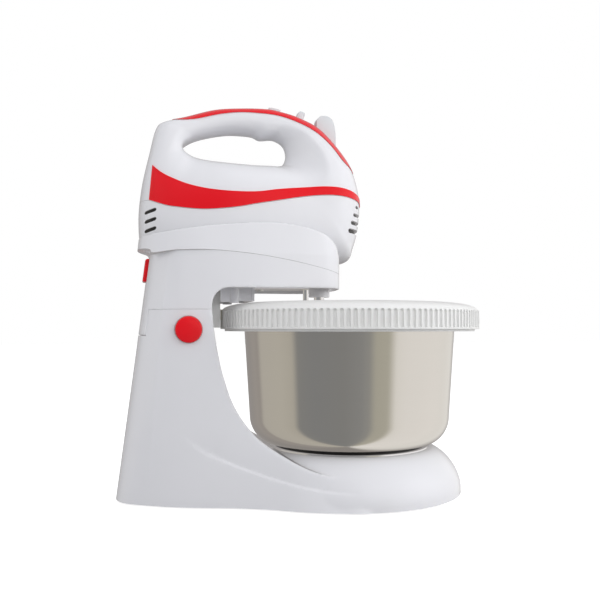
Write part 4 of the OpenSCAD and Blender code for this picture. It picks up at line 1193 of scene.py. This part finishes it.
def soft_lamp(name, location, target, size, height, watts):
    """A lamp that neither the camera nor a reflection sees."""
    data = bpy.data.lights.new(name, "AREA")
    data.energy = watts
    data.shape = "RECTANGLE"
    data.size = size
    data.size_y = height
    lamp = link(name, data)
    lamp.location = location
    way = Vector(target) - Vector(location)
    lamp.rotation_euler = way.to_track_quat("-Z", "Y").to_euler()
    lamp.visible_glossy = False
    lamp.visible_camera = False
    return lamp


# What gloss reflects round the studio: (share of a turn, red, green, blue).
STUDIO_BANDS = [
    (0, 0.335, 0.335, 0.335),
    (0.06, 0.3, 0.3, 0.3),
    (0.15, 0.295, 0.298, 0.305),
    (0.203, 0.31, 0.31, 0.31),
    (0.222, 0.58, 0.55, 0.49),
    (0.27, 0.62, 0.59, 0.53),
    (0.355, 0.6, 0.57, 0.52),
    (0.375, 0.42, 0.39, 0.37),
    (0.4, 0.44, 0.41, 0.39),
    (0.46, 0.36, 0.34, 0.33),
    (0.58, 0.36, 0.34, 0.33),
    (0.64, 0.95, 0.93, 0.9),
    (0.75, 1.04, 1.01, 0.99),
    (0.86, 1.02, 0.99, 0.97),
    (0.9, 0.98, 0.95, 0.92),
    (0.925, 0.56, 0.54, 0.465),
    (0.965, 0.54, 0.52, 0.45),
    (0.985, 0.36, 0.358, 0.35),
]


def studio_world():
    """White behind the mixer, soft fill light, and broad bands for the gloss to reflect."""
    world = bpy.data.worlds.new("studio")
    world.use_nodes = True
    bpy.context.scene.world = world
    tree = world.node_tree
    tree.nodes.clear()
    maker = Finish(tree)
    rays = tree.nodes.new("ShaderNodeLightPath")
    spot = maker.node("ShaderNodeTexCoord", {}, {}, "Generated")
    parts = maker.node("ShaderNodeSeparateXYZ", {}, {"Vector": spot}, "X").socket.node
    x, y, z = (Value(maker, parts.outputs[axis]) for axis in "XYZ")
    turn = x.math("ARCTAN2", y) * (0.5 / math.pi) + 0.5
    stops = [(turn_at, (*colour, 1)) for turn_at, *colour in STUDIO_BANDS]
    around = maker.node("ShaderNodeValToRGB", {"stops": stops}, {"Fac": turn})
    up = maker.node("ShaderNodeMapRange", {}, {0: z, 1: 0.25, 2: 0.9, 3: 0.0, 4: 1.0})
    mirror = maker.blend(up, around, (0.68, 0.68, 0.7))
    fill = maker.node("ShaderNodeBackground", {}, {"Color": (0.96, 0.97, 1.0, 1), "Strength": 0.53})
    shine = maker.node("ShaderNodeBackground", {}, {"Color": mirror, "Strength": 1.0})
    white = maker.node("ShaderNodeBackground", {}, {"Color": (1, 1, 1, 1), "Strength": 1.0})
    glossy = Value(maker, rays.outputs["Is Glossy Ray"])
    seen = Value(maker, rays.outputs["Is Camera Ray"])
    through = Value(maker, rays.outputs["Is Transmission Ray"])
    both = maker.node("ShaderNodeMixShader", {}, {0: glossy, 1: fill, 2: shine})
    last = maker.node("ShaderNodeMixShader", {}, {0: seen.math("MAXIMUM", through), 1: both, 2: white})
    out = tree.nodes.new("ShaderNodeOutputWorld")
    tree.links.new(last.socket, out.inputs["Surface"])


def floor_material():
    """Pale floor that keeps the mixer's shadow and otherwise reads as plain white."""
    material, maker = start("pale floor")
    maker.connect(colour=(0.48, 0.48, 0.48, 1), rough=0.9)
    rays = material.node_tree.nodes.new("ShaderNodeLightPath")
    glow = Value(maker, rays.outputs["Is Camera Ray"]) * 0.82
    emit = maker.node("ShaderNodeEmission", {}, {"Color": (1, 1, 1, 1), "Strength": glow})
    total = maker.node("ShaderNodeAddShader", {}, {0: Value(maker, maker.shader.outputs[0]), 1: emit})
    out = material.node_tree.nodes["Material Output"]
    material.node_tree.links.new(total.socket, out.inputs["Surface"])
    return material


class STANDMIXER_OT_stage(bpy.types.Operator):
    """Set up the floor, light and camera"""

    bl_idname = "stand_mixer.stage"
    bl_label = "Stage"

    def execute(self, context):
        deselect()
        reach = sizes().floor_reach
        bpy.ops.mesh.primitive_plane_add(size=2 * reach, location=(0, 0, 0))
        floor = bpy.context.object
        floor.name = "floor"
        settle(floor)
        floor.data.materials.append(floor_material())
        lamps = [
            soft_lamp("top light", (0, -0.1, 1.7), (0, 0, 0.15), 1.6, 1.6, 3),
            soft_lamp("key light", (1.6, -0.65, 0.7), (0, 0, 0.15), 1.2, 1.2, 16),
            soft_lamp("left light", (-1.4, -0.6, 0.7), (0, 0, 0.15), 1.2, 1.2, 7),
            soft_lamp("front light", (0.15, -0.62, 0.4), (0, 0, 0.29), 0.4, 0.4, 1.0),
            soft_lamp("low light", (-0.3, -1.3, 0.07), (0, 0, 0.17), 1.2, 0.12, 0.3),
            soft_lamp("arm bounce", (-0.01, -0.01, 0.1735), (-0.01, 0.01, 0.3), 0.07, 0.05, 0.008),
        ]
        # Of the machine, the bowl's steel mirrors only what lies right under it.
        for piece in bpy.context.scene.objects:
            piece.visible_glossy = piece.name in ("turntable_pad", "bowl")
        camera = look_from((-0.1473, -0.6333, 0.141), heading=-13.06, lens=44.82, shift=0.047)
        studio_world()
        bpy.context.scene.view_settings.view_transform = "Standard"
        return {"FINISHED"}


class STANDMIXER_OT_dress(bpy.types.Operator):
    """Give every CAD node that stays in sight its finish"""

    bl_idname = "stand_mixer.dress"
    bl_label = "Dress the CAD nodes"

    def execute(self, context):
        for part in frame["record"]["subparts"]:
            mesh = frame["nodes"][part["node"]].data
            mesh.materials.clear()
            mesh.materials.append(finishes[part["material_slot"]])
        return {"FINISHED"}


OPERATORS = (
    STANDMIXER_OT_dress,
    STANDMIXER_OT_base,
    STANDMIXER_OT_arm,
    STANDMIXER_OT_cradle,
    STANDMIXER_OT_hand_mixer,
    STANDMIXER_OT_trims,
    STANDMIXER_OT_splash_ring,
    STANDMIXER_OT_bowl,
    STANDMIXER_OT_controls,
    STANDMIXER_OT_beaters,
    STANDMIXER_OT_stage,
)


class STANDMIXER_PT_panel(bpy.types.Panel):
    """Sizes, colours and the steps that build the stand mixer"""

    bl_idname = "STANDMIXER_PT_panel"
    bl_label = "Stand mixer"
    bl_space_type = "VIEW_3D"
    bl_region_type = "UI"
    bl_category = "Stand mixer"

    def draw(self, context):
        for group in (sizes(), colours()):
            for name in group.__annotations__:
                self.layout.prop(group, name)
        for operator in OPERATORS:
            self.layout.operator(operator.bl_idname)


CLASSES = (MixerSizes, MixerColours, *OPERATORS, STANDMIXER_PT_panel)


def register():
    for cls in CLASSES:
        bpy.utils.register_class(cls)
    bpy.types.Scene.mixer_sizes = bpy.props.PointerProperty(type=MixerSizes)
    bpy.types.Scene.mixer_colours = bpy.props.PointerProperty(type=MixerColours)


def unregister():
    del bpy.types.Scene.mixer_colours
    del bpy.types.Scene.mixer_sizes
    for cls in reversed(CLASSES):
        bpy.utils.unregister_class(cls)


def main():
    register()
    make_finishes()
    bpy.ops.stand_mixer.dress()
    bpy.ops.stand_mixer.base()
    bpy.ops.stand_mixer.arm()
    bpy.ops.stand_mixer.cradle()
    bpy.ops.stand_mixer.hand_mixer()
    bpy.ops.stand_mixer.trims()
    bpy.ops.stand_mixer.splash_ring()
    bpy.ops.stand_mixer.bowl()
    bpy.ops.stand_mixer.controls()
    bpy.ops.stand_mixer.beaters()
    bpy.ops.stand_mixer.stage()


if __name__ == "__main__":
    main()
